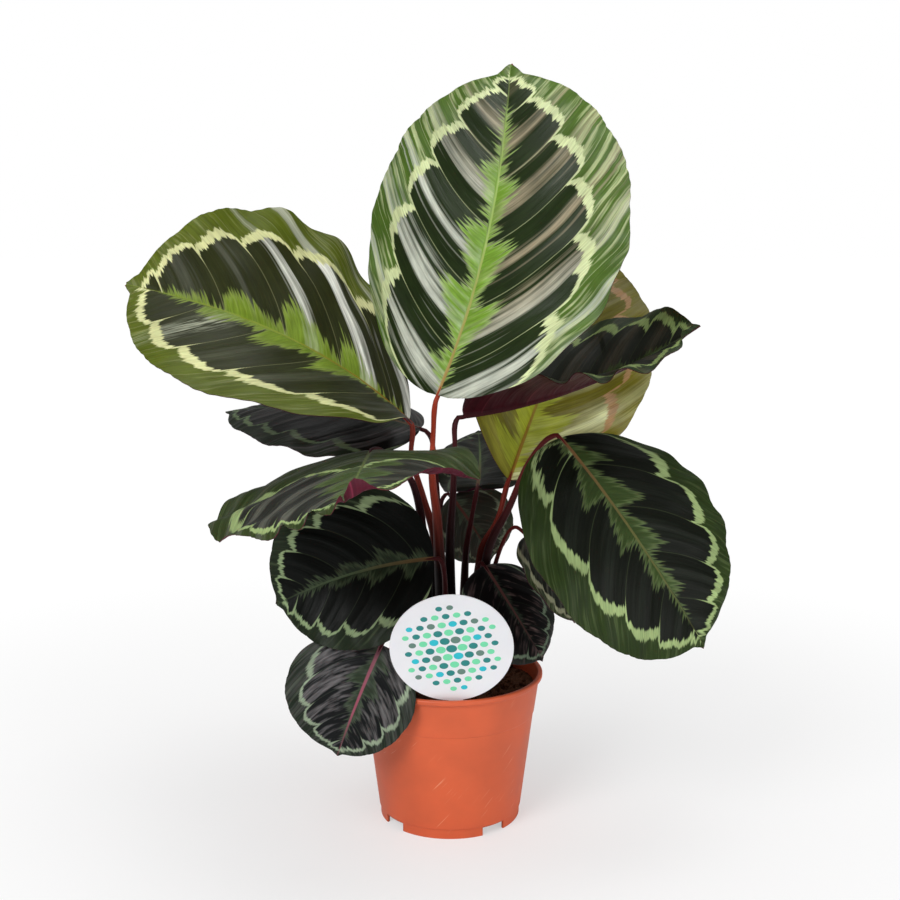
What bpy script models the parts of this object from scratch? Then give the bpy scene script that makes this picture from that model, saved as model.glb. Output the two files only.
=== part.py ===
"""Potted calathea with round patterned leaves, in a 12 cm terracotta-coloured nursery pot with a label.

Lengths in the tables are millimetres and angles are degrees. The pot's axis is the local Z axis,
the camera side is -Y, and a parent empty shifts everything so that the middle of the whole
plant's footprint lies over the world origin, at table height.
"""

import math

import bmesh
import bpy
import numpy as np
from mathutils import Euler, Matrix, Vector

MM = 0.001
FIT_GAP = 0.3          # clearance kept between pieces that touch

# Where the pot's axis stands, from the middle of the footprint
POT_AXIS = (15.6, 8.4)

# Pot: one injection-moulded cup with a skirt of four feet
POT_HEIGHT = 97.0
RIM_RADIUS = 60.0
RIM_LIP = 3.3          # height of the rolled lip
NECK_RADIUS = 57.6     # body just under the lip
BASE_RADIUS = 46.4     # body just above the feet
FOOT_RADIUS = 45.5
FOOT_HEIGHT = 6.5
FOOT_WALL = 1.8
POT_WALL = 1.2
FLOOR_THICKNESS = 1.6
STEP_HEIGHT = 71.0     # the faint stacking step on the outside
FOOT_TURN = -7.0       # the front foot is a little to the left of the front
NOTCH_WIDTH = 17.0
DRAIN_WIDTH = 10.0
POT_SIDES = 48

# Compost
SOIL_TOP = 87.0
SOIL_BUMP = 0.9

# Label: a disc and its stake, cut from one sheet
LABEL_RADIUS = 37.5
LABEL_THICKNESS = 0.8
LABEL_CENTRE = (1.0, -63.2, 132.3)
LABEL_LEAN = 14.0      # its top leans towards the front
LABEL_ROLL = 4.0
STAKE_WIDTH = 9.0
STAKE_LENGTH = 82.0    # from the centre of the disc to the point

# Leaves
BLADE_THICKNESS = 0.7
RIB_HEIGHT = 1.3       # how far the midrib stands out under the blade at its base
STALK_DEPTH = 13.0     # how deep a leaf stalk stands in the compost
STALK_GAP = 0.4        # play of a stalk in its hole
COLUMNS = (-1.0, -0.72, -0.38, -0.04, 0.04, 0.38, 0.72, 1.0)

# at: where the stalk meets the blade. heading, pitch and roll aim the blade there: heading from
# +X towards +Y, pitch up, roll about the midrib. droop, sweep and twist turn it on the way to the
# tip. share is the left half's share of the width. fold lifts both halves from the midrib and
# curl bends them on towards the margin. blunt shapes the base and the tip: 0.5 is round and 1 is
# pointed. waves are (height, count, phase) for the left and the right margin. foot is where the
# stalk leaves the compost, via the points it passes, and thick its radius there and at the blade.
LEAVES = {
    "01": dict(
        at=(-8, -42, 283), heading=34, pitch=62, roll=8, length=205, width=188,
        droop=-21, sweep=10, twist=22, share=0.49, fold=(7, 7), curl=-15, blunt=(0.5, 0.5),
        waves=((1.5, 4, 0), (2.5, 5, 60)), rows=20,
        foot=(-3, -9), via=((-8, -18, 201), (-11, -30, 232), (-10, -40, 261)), thick=(2.9, 1.6),
    ),
    "02": dict(
        at=(-26, 23, 257), heading=198, pitch=45, roll=-19, length=203, width=186,
        droop=44, sweep=-2, twist=-43, share=0.48, fold=(14, 14), curl=-7, blunt=(0.58, 0.55),
        waves=((1.5, 4, 90), (3, 5, 30)), rows=20,
        foot=(-10, 4), via=((-10, 6, 182), (-17, 16, 206), (-25, 24, 234)), thick=(2.8, 1.7),
    ),
    "03": dict(
        at=(8, 6, 263), heading=-2, pitch=7, roll=-2, length=161, width=110,
        droop=-33, sweep=-15, twist=23, share=0.51, fold=(52, 15), curl=-19, blunt=(0.5, 0.6),
        waves=((1.5, 5, 0), (3, 6, 0)), rows=20,
        foot=(1, 3), via=((0, 4, 179), (2, 4, 215), (3, 4, 244)), thick=(2.6, 1.7),
    ),
    "04": dict(
        at=(39, 36, 215), heading=60, pitch=50, roll=40, length=191, width=133,
        droop=0, sweep=-4, twist=2, share=0.5, fold=(25, 25), curl=-7, blunt=(0.72, 0.5),
        waves=((2, 4, 0), (3, 4, 45)), rows=20,
        foot=(15, 9), via=((20, 10, 172), (31, 22, 191)), thick=(2.8, 1.8),
    ),
    "05": dict(
        at=(68, -22, 254), heading=-47, pitch=-36, roll=12, length=157, width=136,
        droop=39, sweep=15, twist=9, share=0.49, fold=(7, 7), curl=-18, blunt=(0.5, 0.5),
        waves=((1.5, 5, 0), (1.5, 4, 90)), rows=18,
        foot=(17, -1), via=((24, -2, 175), (38, -4, 207), (51, -10, 239)), thick=(2.8, 1.6),
    ),
    "06": dict(
        at=(49, -12, 189), heading=-41, pitch=-45, roll=-5, length=62, width=57,
        droop=14, sweep=1, twist=-7, share=0.5, fold=(6, 6), curl=-9, blunt=(0.5, 0.5),
        waves=((1, 3, 0), (1, 3, 90)), rows=13,
        foot=(24, 3), via=((28, 3, 160), (35, 1, 184), (41, -5, 193)), thick=(1.8, 1.1),
    ),
    "07": dict(
        at=(22, -13, 170), heading=-42, pitch=-45, roll=12, length=70, width=72,
        droop=19, sweep=11, twist=-7, share=0.5, fold=(4, 4), curl=-21, blunt=(0.5, 0.5),
        waves=((1, 3, 0), (1, 3, 90)), rows=13,
        foot=(9, -12), via=((12, -12, 150), (18, -10, 168)), thick=(2.2, 1.4),
    ),
    "08": dict(
        at=(-10, -29, 179), heading=186, pitch=-3, roll=-62, length=105, width=104,
        droop=26, sweep=20, twist=-11, share=0.47, fold=(12, 12), curl=-2, blunt=(0.5, 0.5),
        waves=((1, 4, 0), (1.5, 4, 90)), rows=16,
        foot=(-4, -19), via=((-3, -22, 150), (-4, -26, 172)), thick=(2.5, 1.5),
    ),
    "09": dict(
        at=(-42, -46, 129), heading=211, pitch=-61, roll=-51, length=74, width=81,
        droop=9, sweep=5, twist=-7, share=0.43, fold=(6, 6), curl=-8, blunt=(0.5, 0.5),
        waves=((-1, 2, 0), (-5, 1, 30)), rows=14,
        foot=(-15, -17), via=((-18, -21, 116), (-29, -33, 138), (-37, -41, 138)), thick=(2.4, 1.4),
    ),
    "10": dict(
        at=(-48, -36, 249), heading=265, pitch=-4, roll=7, length=124, width=160,
        droop=-4, sweep=4, twist=12, share=0.43, fold=(2, 2), curl=-18, blunt=(0.5, 0.5),
        waves=((8, 1.5, -18), (3, 4, 40)), rows=20,
        foot=(-14, -5), via=((-16, -3, 170), (-23, -2, 219), (-40, -12, 242)), thick=(2.7, 1.6),
    ),
    "11": dict(
        at=(-19, 56, 246), heading=169, pitch=17, roll=-16, length=139, width=120,
        droop=28, sweep=6, twist=14, share=0.5, fold=(0, 0), curl=-21, blunt=(0.5, 0.5),
        waves=((1.5, 4, 0), (1.5, 4, 90)), rows=16,
        foot=(-5, 14), via=((-7, 20, 166), (-9, 38, 212), (-12, 53, 238)), thick=(2.6, 1.6),
    ),
    "12": dict(
        at=(1, 47, 201), heading=-14, pitch=-50, roll=48, length=50, width=60,
        droop=9, sweep=-9, twist=-2, share=0.5, fold=(11, 11), curl=-3, blunt=(0.5, 0.5),
        waves=((1, 3, 0), (1, 3, 90)), rows=12,
        foot=(2, 23), via=((-1, 42, 160), (-6, 51, 194)), thick=(2.2, 1.3),
    ),
    "13": dict(
        at=(18, 31, 212), heading=85, pitch=9, roll=-4, length=100, width=62,
        droop=-5, sweep=7, twist=-2, share=0.5, fold=(4, 4), curl=-13, blunt=(0.5, 0.5),
        waves=((1, 3, 0), (1, 3, 90)), rows=14,
        foot=(9, 13), via=((10, 14, 167), (14, 21, 192)), thick=(2.4, 1.5),
    ),
}

# Colours of leaf faces and stalks, by how old the leaf is
LEAF_GREEN = (0.045, 0.085, 0.022)
LEAF_OLIVE = (0.23, 0.25, 0.03)
LEAF_DARK = (0.010, 0.018, 0.010)
STALK_RED = (0.13, 0.018, 0.014)
POT_ORANGE = (0.68, 0.13, 0.045)
COMPOST_BROWN = (0.022, 0.012, 0.008)
CARD_WHITE = (0.86, 0.86, 0.88)
FACE_COLOURS = {"01": LEAF_GREEN, "02": LEAF_GREEN, "04": LEAF_OLIVE}


def clear_scene():
    for item in list(bpy.data.objects):
        bpy.data.objects.remove(item, do_unlink=True)


def material(name, colour, roughness):
    """A plain Principled material."""
    made = bpy.data.materials.new(name)
    made.use_nodes = True
    shader = made.node_tree.nodes["Principled BSDF"]
    shader.inputs["Base Color"].default_value = (*colour, 1.0)
    shader.inputs["Roughness"].default_value = roughness
    shader.inputs["Metallic"].default_value = 0.0
    return made


def add_object(name, data, look, parent):
    made = bpy.data.objects.new(name, data)
    bpy.context.scene.collection.objects.link(made)
    data.materials.append(look)
    made.parent = parent
    return made


def mesh_from(name, points, faces):
    """A mesh from points in millimetres, with its faces pointing out."""
    data = bpy.data.meshes.new(name)
    data.from_pydata([tuple(float(c) * MM for c in p) for p in points], [], faces)
    work = bmesh.new()
    work.from_mesh(data)
    bmesh.ops.recalc_face_normals(work, faces=work.faces)
    work.to_mesh(data)
    work.free()
    data.shade_smooth()
    data.set_sharp_from_angle(angle=math.radians(40))
    return data


def turned(name, profile, sides):
    """A solid of revolution. The profile is a list of (radius, height), from axis to axis."""
    points, rings, faces = [], [], []
    for radius, height in profile:
        if radius == 0:
            rings.append([len(points)])
            points.append((0.0, 0.0, height))
            continue
        rings.append(list(range(len(points), len(points) + sides)))
        for k in range(sides):
            angle = 2 * math.pi * k / sides
            points.append((radius * math.cos(angle), radius * math.sin(angle), height))
    for low, high in zip(rings[:-1], rings[1:]):
        for k in range(sides):
            nxt = (k + 1) % sides
            if len(low) == 1:
                faces.append((low[0], high[nxt], high[k]))
            elif len(high) == 1:
                faces.append((low[k], low[nxt], high[0]))
            else:
                faces.append((low[k], low[nxt], high[nxt], high[k]))
    return mesh_from(name, points, faces)


def cutter(name, data, parent):
    """An object that only cuts others."""
    made = bpy.data.objects.new(name, data)
    bpy.context.scene.collection.objects.link(made)
    made.parent = parent
    made.hide_render = True
    made.display_type = "WIRE"
    return made


def box_mesh(name, size, offset=(0.0, 0.0, 0.0)):
    half = [s / 2 for s in size]
    points = [
        (offset[0] + sx * half[0], offset[1] + sy * half[1], offset[2] + sz * half[2])
        for sx in (-1, 1) for sy in (-1, 1) for sz in (-1, 1)
    ]
    faces = [(0, 1, 3, 2), (4, 6, 7, 5), (0, 4, 5, 1), (2, 3, 7, 6), (0, 2, 6, 4), (1, 5, 7, 3)]
    return mesh_from(name, points, faces)


def cut(target, tool):
    step = target.modifiers.new(tool.name, "BOOLEAN")
    step.operation = "DIFFERENCE"
    step.solver = "EXACT"
    step.object = tool


def inner_radius(height):
    """Radius of the inside of the pot wall at a height."""
    along = (height - FOOT_HEIGHT) / (POT_HEIGHT - RIM_LIP - FOOT_HEIGHT)
    return BASE_RADIUS + (NECK_RADIUS - BASE_RADIUS) * along - POT_WALL


def make_pot(parent):
    neck = POT_HEIGHT - RIM_LIP
    step_outer = inner_radius(STEP_HEIGHT) + POT_WALL
    floor_top = FOOT_HEIGHT + FLOOR_THICKNESS
    profile = [
        (0, FOOT_HEIGHT - 1.0),
        (FOOT_RADIUS - FOOT_WALL, FOOT_HEIGHT - 1.0),
        (FOOT_RADIUS - FOOT_WALL, 0),
        (FOOT_RADIUS, 0),
        (FOOT_RADIUS, FOOT_HEIGHT),
        (BASE_RADIUS, FOOT_HEIGHT + 0.4),
        (step_outer - 0.35, STEP_HEIGHT - 0.4),
        (step_outer + 0.2, STEP_HEIGHT + 0.4),
        (NECK_RADIUS, neck - 2.6),
        (NECK_RADIUS + 0.9, neck - 0.4),
        (RIM_RADIUS - 0.5, neck),
        (RIM_RADIUS, neck + 0.9),
        (RIM_RADIUS, POT_HEIGHT - 1.0),
        (RIM_RADIUS - 0.8, POT_HEIGHT),
        (NECK_RADIUS - 0.1, POT_HEIGHT),
        (NECK_RADIUS - 0.7, POT_HEIGHT - 0.9),
        (inner_radius(neck - 3), neck - 3),
        (inner_radius(floor_top + 2), floor_top + 2),
        (inner_radius(floor_top) - 1.8, floor_top),
        (0, floor_top),
    ]
    pot = add_object("pot", turned("pot", profile, POT_SIDES), material(
        "terracotta_polypropylene", POT_ORANGE, 0.45), parent)
    for k in range(4):
        angle = math.radians(FOOT_TURN - 90 + 45 + 90 * k)
        notch = cutter(f"cut_notch_{k}", box_mesh(f"cut_notch_{k}", (12, NOTCH_WIDTH, 12)), parent)
        notch.location = Vector((44 * math.cos(angle), 44 * math.sin(angle), -0.5)) * MM
        notch.rotation_euler = (0, 0, angle)
        cut(pot, notch)
        drain = cutter(f"cut_drain_{k}", box_mesh(f"cut_drain_{k}", (7, DRAIN_WIDTH, 12)), parent)
        drain.location = Vector((39 * math.cos(angle), 39 * math.sin(angle), FOOT_HEIGHT)) * MM
        drain.rotation_euler = (0, 0, angle)
        cut(pot, drain)
    centre_hole = cutter("cut_drain_centre", turned("cut_drain_centre", [
        (0, 0), (5, 0), (5, 14), (0, 14)], 16), parent)
    cut(pot, centre_hole)
    return pot


def soil_height(x, y):
    """The crumbly top of the compost."""
    wave = math.sin(0.31 * x + 1.3) * math.cos(0.27 * y - 0.4)
    fine = math.sin(0.73 * x - 0.55 * y) * math.sin(0.61 * y + 0.8)
    return SOIL_TOP + SOIL_BUMP * (0.6 * wave + 0.5 * fine)


def make_soil(parent, tools):
    floor_top = FOOT_HEIGHT + FLOOR_THICKNESS
    edge = inner_radius(SOIL_TOP) - FIT_GAP - 0.15
    profile = [(0, floor_top + FIT_GAP), (inner_radius(floor_top) - 3.2, floor_top + FIT_GAP)]
    profile += [(inner_radius(floor_top + 4) - FIT_GAP - 0.15, floor_top + 4)]
    profile += [(edge, SOIL_TOP - 2.2)]
    profile += [(r, SOIL_TOP) for r in (edge - 2.5, 45, 36, 27, 18, 9, 0)]
    data = turned("soil", profile, 40)
    for point in data.vertices:
        if point.co.z > (SOIL_TOP - 1) * MM:
            point.co.z = soil_height(point.co.x / MM, point.co.y / MM) * MM
    soil = add_object("soil", data, material("peat_compost", COMPOST_BROWN, 0.95), parent)
    for tool in tools:
        cut(soil, tool)
    return soil


def label_matrix():
    lean = Euler((math.radians(90 + LABEL_LEAN), 0, 0)).to_matrix().to_4x4()
    roll = Matrix.Rotation(math.radians(LABEL_ROLL), 4, "Z")
    return Matrix.Translation(Vector(LABEL_CENTRE) * MM) @ lean @ roll


def make_label(parent):
    """The disc and its stake as one outline, given the thickness of the sheet."""
    half = STAKE_WIDTH / 2
    start = math.asin(half / LABEL_RADIUS)
    outline = [(-half, -STAKE_LENGTH + 7), (0, -STAKE_LENGTH), (half, -STAKE_LENGTH + 7)]
    count = 48
    for k in range(count + 1):
        angle = -math.pi / 2 + start + (2 * math.pi - 2 * start) * k / count
        outline.append((LABEL_RADIUS * math.cos(angle), LABEL_RADIUS * math.sin(angle)))
    n = len(outline)
    points = [(x, y, z) for z in (-LABEL_THICKNESS / 2, LABEL_THICKNESS / 2) for x, y in outline]
    faces = [tuple(range(n)), tuple(range(n, 2 * n))]
    faces += [(k, (k + 1) % n, n + (k + 1) % n, n + k) for k in range(n)]
    label = add_object("label", mesh_from("label", points, faces), material(
        "printed_plastic_card", CARD_WHITE, 0.4), parent)
    label.matrix_basis = label_matrix()
    return label


def label_slot(parent):
    """The slot that the stake stands in."""
    size = (STAKE_WIDTH + 1.2, STAKE_LENGTH - 38, LABEL_THICKNESS + 0.8)
    slot = cutter("cut_stake", box_mesh(
        "cut_stake", size, (0, -(STAKE_LENGTH + 39) / 2, 0)), parent)
    slot.matrix_basis = label_matrix()
    return slot


def turn(vector, axis, angle):
    """A vector turned about a unit axis."""
    c, s = math.cos(angle), math.sin(angle)
    return vector * c + np.cross(axis, vector) * s + axis * np.dot(axis, vector) * (1 - c)


def leaf_axes(leaf, places, steps=48):
    """Midrib points, directions and face normals of a blade at the given places, 0 to 1."""
    az, el = math.radians(leaf["heading"]), math.radians(leaf["pitch"])
    ahead = np.array([math.cos(el) * math.cos(az), math.cos(el) * math.sin(az), math.sin(el)])
    face = np.array([0.0, 0.0, 1.0]) - ahead * ahead[2]
    face = turn(face / np.linalg.norm(face), ahead, math.radians(leaf["roll"]))
    here = np.array(leaf["at"], float)
    bend = [math.radians(leaf[key]) / steps for key in ("droop", "sweep", "twist")]
    track = [(here, ahead, face)]
    for _ in range(steps):
        side = np.cross(face, ahead)
        new_ahead = turn(ahead, side, bend[0])
        new_face = turn(face, side, bend[0])
        new_ahead = turn(new_ahead, new_face, bend[1])
        new_face = turn(new_face, new_ahead, bend[2])
        here = here + (ahead + new_ahead) * 0.5 * leaf["length"] / steps
        ahead = new_ahead / np.linalg.norm(new_ahead)
        face = new_face - ahead * np.dot(new_face, ahead)
        face = face / np.linalg.norm(face)
        track.append((here, ahead, face))
    grid = np.linspace(0, 1, steps + 1)
    out = []
    for part in range(3):
        values = np.array([entry[part] for entry in track])
        out.append(np.stack([np.interp(places, grid, values[:, k]) for k in range(3)], -1))
    return out


def half_outline(places, blunt, widest=0.45, shoulder=0.97):
    """Half the blade's width along its midrib as a share of the largest: oval, with a drip tip."""
    low = np.clip((widest - places) / widest, 0, 1)
    high = np.clip((places - widest) / (shoulder - widest), 0, 1)
    body = np.where(places < widest, (1 - low ** 2) ** blunt[0], (1 - high ** 2) ** blunt[1])
    tip = np.where(places > 0.85, 2.0 * (1 - places), 0)
    return (body ** 3 + tip ** 3) ** (1 / 3)


def leaf_face(leaf, places, columns):
    """Points of the blade's upper face, one row for each place along the midrib."""
    middle, ahead, face = leaf_axes(leaf, places)
    side = np.cross(face, ahead)
    columns = np.array(columns)
    reach = np.abs(columns)[None, :]
    left = (columns > 0)[None, :]
    half = leaf["width"] * half_outline(places, leaf["blunt"])[:, None]
    half = half * np.where(left, leaf["share"], 1 - leaf["share"])
    fold = np.radians(leaf["fold"][0] + (leaf["fold"][1] - leaf["fold"][0]) * places)[:, None]
    curl = math.radians(leaf["curl"])
    steps = (np.arange(12) + 0.5) / 12
    angle = fold[:, :, None] + curl * reach[:, :, None] * steps[None, None, :]
    out = np.cos(angle).mean(-1) * reach * half
    lift = np.sin(angle).mean(-1) * reach * half
    for on_left, (height, count, phase) in zip((True, False), leaf["waves"]):
        swell = np.sin(2 * math.pi * count * places + math.radians(phase))
        swell = swell * np.sin(math.pi * np.clip(places, 0, 1)) ** 0.4
        lift = lift + np.where(left == on_left, height * swell[:, None] * reach ** 2.5, 0)
    out = np.where(left, out, -out)
    return middle[:, None] + side[:, None] * out[:, :, None] + face[:, None] * lift[:, :, None]


def row_places(count):
    """Places of the rows along the midrib, closer together at both rounded ends."""
    even = np.linspace(0.0, 1.0, count + 1)
    packed = 0.5 - 0.5 * np.cos(math.pi * even)
    places = 0.45 * even + 0.55 * packed
    places[0], places[-1] = 0.002, 0.998
    return places


def make_blade(name, leaf, look, parent):
    """A thin blade with the midrib raised under it, cut into triangles alike on both faces."""
    places = row_places(leaf["rows"])
    upper = leaf_face(leaf, places, COLUMNS)
    along = np.gradient(upper, axis=0)
    across = np.gradient(upper, axis=1)
    normal = np.cross(along, across)
    normal = normal / np.linalg.norm(normal, axis=2, keepdims=True)
    facing = leaf_axes(leaf, places)[2]
    normal = normal * np.sign((normal * facing[:, None]).sum(-1).mean())
    rib = RIB_HEIGHT * leaf["thick"][1] / 1.6 * (1 - 0.75 * places)
    depth = np.full(upper.shape[:2], BLADE_THICKNESS)
    near_rib = np.abs(np.array(COLUMNS)) < 0.1
    depth[:, near_rib] += rib[:, None]
    lower = upper - normal * depth[:, :, None]
    rows, cols = upper.shape[:2]
    size = rows * cols
    points = list(upper.reshape(-1, 3)) + list(lower.reshape(-1, 3))
    faces = []
    for i in range(rows - 1):
        for j in range(cols - 1):
            a, b = i * cols + j, i * cols + j + 1
            c, d = a + cols, b + cols
            split = ((a, b, d), (a, d, c)) if j < cols // 2 else ((a, b, c), (b, d, c))
            for tri in split:
                faces.append(tri)
                faces.append(tuple(size + k for k in reversed(tri)))
    rim = [j for j in range(cols)]
    rim += [i * cols + cols - 1 for i in range(1, rows)]
    rim += [(rows - 1) * cols + j for j in range(cols - 2, -1, -1)]
    rim += [i * cols for i in range(rows - 2, 0, -1)]
    for a, b in zip(rim, rim[1:] + rim[:1]):
        faces.append((a, b, size + b))
        faces.append((a, size + b, size + a))
    return add_object(name, mesh_from(name, points, faces), look, parent)


def stalk_route(leaf, spacing=9.0):
    """Points along a leaf stalk, from its foot in the compost to just short of the blade."""
    end_way = leaf_axes(leaf, np.array([0.0]))[1][0]
    top = np.array([leaf["foot"][0], leaf["foot"][1], SOIL_TOP + 4.0])
    first = np.array(leaf["via"][0], float)
    lean = (first - top) / np.linalg.norm(first - top)
    lean = lean + np.array([0, 0, 0.8])
    lean = lean / np.linalg.norm(lean)
    foot = top - lean * (4.0 + STALK_DEPTH) / lean[2]
    end = np.array(leaf["at"], float) - end_way * (FIT_GAP + 0.2)
    end = end - leaf_axes(leaf, np.array([0.0]))[2][0] * 0.9
    knots = [top] + [np.array(v, float) for v in leaf["via"]] + [end - end_way * 3.0]
    ways = [lean]
    for before, after in zip(knots[:-2], knots[2:]):
        ways.append((after - before) / np.linalg.norm(after - before))
    ways.append(end_way)
    route = [foot]
    for p, q, u, v in zip(knots[:-1], knots[1:], ways[:-1], ways[1:]):
        span = np.linalg.norm(q - p)
        count = max(2, round(span / spacing))
        for k in range(count):
            t = k / count
            h1, h2 = 2 * t ** 3 - 3 * t ** 2 + 1, t ** 3 - 2 * t ** 2 + t
            h3, h4 = -2 * t ** 3 + 3 * t ** 2, t ** 3 - t ** 2
            route.append(h1 * p + h2 * span * u + h3 * q + h4 * span * v)
    route += [knots[-1], end]
    return route, lean


def make_stalk(name, leaf, look, parent):
    """A tapering round stalk, as a bevelled curve with capped ends."""
    route, _ = stalk_route(leaf)
    data = bpy.data.curves.new(name, "CURVE")
    data.dimensions = "3D"
    data.bevel_depth = MM
    data.bevel_resolution = 2
    data.use_fill_caps = True
    spline = data.splines.new("POLY")
    spline.points.add(len(route) - 1)
    wide, narrow = leaf["thick"]
    for k, place in enumerate(route):
        share = max(0.0, (k - 1) / (len(route) - 2))
        spline.points[k].co = (*(float(c) * MM for c in place), 1.0)
        spline.points[k].radius = wide + (narrow - wide) * share
    return add_object(name, data, look, parent)


def stalk_hole(name, leaf, parent):
    """The plain hole in the compost that a stalk stands in."""
    route, lean = stalk_route(leaf)
    radius = leaf["thick"][0] + STALK_GAP
    data = turned(name, [(0, -0.6), (radius, -0.6), (radius, 30), (0, 30)], 12)
    hole = cutter(name, data, parent)
    aim = Vector(lean.tolist()).to_track_quat("Z", "Y").to_matrix().to_4x4()
    hole.matrix_basis = Matrix.Translation(Vector(route[0].tolist()) * MM) @ aim
    return hole


def main():
    clear_scene()
    stand = bpy.data.objects.new("plant_stand", None)
    bpy.context.scene.collection.objects.link(stand)
    stand.location = (POT_AXIS[0] * MM, POT_AXIS[1] * MM, 0)
    make_pot(stand)
    stalk_look = material("calathea_stalk", STALK_RED, 0.4)
    tools = [label_slot(stand)]
    for name, leaf in LEAVES.items():
        colour = FACE_COLOURS.get(name, LEAF_DARK)
        look = material(f"calathea_blade_{name}", colour, 0.35)
        make_blade(f"blade_{name}", leaf, look, stand)
        make_stalk(f"stalk_{name}", leaf, stalk_look, stand)
        tools.append(stalk_hole(f"cut_stalk_{name}", leaf, stand))
    make_soil(stand, tools)
    make_label(stand)


main()
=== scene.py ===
"""Looks of a potted calathea: patterned blades, stalks, compost, plastic pot, label and studio.

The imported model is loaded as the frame. Lengths in the tables are millimetres from the pot's axis
and angles are degrees, as in the part's own source.
"""

import math
import random

import bmesh
import bpy
import numpy as np
from bpy.props import FloatProperty, FloatVectorProperty, IntProperty, PointerProperty
from mathutils import Euler, Matrix, Vector, noise


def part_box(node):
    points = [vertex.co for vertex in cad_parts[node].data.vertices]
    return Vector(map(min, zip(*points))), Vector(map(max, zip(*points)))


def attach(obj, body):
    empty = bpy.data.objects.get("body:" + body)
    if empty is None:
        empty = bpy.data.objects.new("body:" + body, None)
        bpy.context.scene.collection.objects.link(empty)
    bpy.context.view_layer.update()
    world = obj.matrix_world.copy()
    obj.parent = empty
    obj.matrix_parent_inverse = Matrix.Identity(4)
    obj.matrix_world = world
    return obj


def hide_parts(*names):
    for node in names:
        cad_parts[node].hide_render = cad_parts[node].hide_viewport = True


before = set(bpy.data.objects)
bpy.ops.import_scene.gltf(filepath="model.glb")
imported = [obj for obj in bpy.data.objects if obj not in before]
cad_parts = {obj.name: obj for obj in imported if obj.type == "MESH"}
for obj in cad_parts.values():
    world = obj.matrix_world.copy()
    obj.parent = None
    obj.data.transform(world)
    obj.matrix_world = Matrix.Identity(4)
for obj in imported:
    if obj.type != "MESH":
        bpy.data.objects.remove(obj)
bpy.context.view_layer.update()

bl_info = {
    "name": "Potted calathea",
    "version": (1, 0, 0),
    "blender": (4, 5, 0),
    "location": "View3D > Sidebar > Calathea",
    "description": "Builds the finished surfaces of a potted calathea around its solid model",
    "category": "Object",
}

MM = 0.001
POT_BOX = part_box("pot")
POT_AXIS = (POT_BOX[0] + POT_BOX[1]) / 2 * Vector((1, 1, 0))

# Pot, millimetres
RIM_RADIUS = (POT_BOX[1].x - POT_BOX[0].x) / 2 / MM
POT_HEIGHT = POT_BOX[1].z / MM
RIM_LIP = 3.3
NECK_RADIUS = 57.6
BASE_RADIUS = 46.4
FOOT_RADIUS = 45.5
FOOT_HEIGHT = 6.5
FOOT_WALL = 1.8
POT_WALL = 1.2
FLOOR_THICKNESS = 1.6
FLOOR_TOP = FOOT_HEIGHT + FLOOR_THICKNESS
STEP_HEIGHT = 71.0
POT_SIDES = 192

# The cuts between its feet and through its floor
FEET = 4
FOOT_TURN = -7.0
NOTCH_WIDTH = 17.0
NOTCH_AT = 44.0
DRAIN_WIDTH = 10.0
DRAIN_AT = 39.0
HOLE_RADIUS = 5.0

# Compost
SOIL_TOP = 87.0
SOIL_RINGS = 64
SOIL_SIDES = 180
LUMPS = ((0.05, 1.6), (0.21, 1.3), (0.6, 0.8), (1.5, 0.35))    # waves per mm, and height in mm
CRUMB_SIZES = (0.5, 1.7)

# Label
LABEL_RADIUS = 37.5
LABEL_THICKNESS = 0.8
LABEL_CENTRE = (1.0, -63.2, 132.3)
LABEL_LEAN = 14.0
LABEL_ROLL = 4.0
STAKE_WIDTH = 9.0
STAKE_LENGTH = 82.0
STAKE_POINT = 7.0
INK_HEIGHT = 0.03
DOT_SIDES = 24
DOT_STRETCH = 1.25     # width of a printed dot as a share of its height
DOT_TILT = 5.0
INKS = (("teal", "#1f7f7c"), ("aqua", "#22b8c8"), ("mint", "#6fd6a5"), ("grey_green", "#5f7f74"))

# Leaves and stalks. The joint is the swelling just below a blade.
BLADE_THICKNESS = 0.45
RIB_HEIGHT = 1.3
RIB_HALF_WIDTH = 1.5
FRILL = 0.008          # depth of the margin's frill as a share of the blade's width
SHORT_STREAK = 50.0    # streaks shorter than this are spread evenly over a lobe
STALK_DEPTH = 13.0
STALK_START = 4.0      # height over the compost where a stalk starts to bend
STALK_SIDES = 18
STALK_TOP = 0.82       # how much thinner a stalk ends than its table says
STALK_DROP = 0.6       # gap between a blade's underside and the middle of its stalk's end
JOINT_AT = 9.0
JOINT_LENGTH = 6.0
JOINT_SWELL = 0.22
STALK_OVERLAP = 7.0    # how far a stalk runs on under the midrib
SHEATH_SHARE = 0.82    # the part of a stalk that its sheath clasps

# Studio: name, place from the pot's axis, width and watts of each soft light
SOFTBOXES = (
    ("key_softbox", (-0.9, -1.3, 1.25), 0.9, 22.0),
    ("fill_softbox", (1.3, -1.1, 0.6), 1.1, 9.0),
    ("top_softbox", (0.1, 0.2, 1.7), 1.2, 12.0),
)
AIM_HEIGHT = 0.22
FLOOR_HALF = 6.0
SENSOR = 36.0

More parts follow.
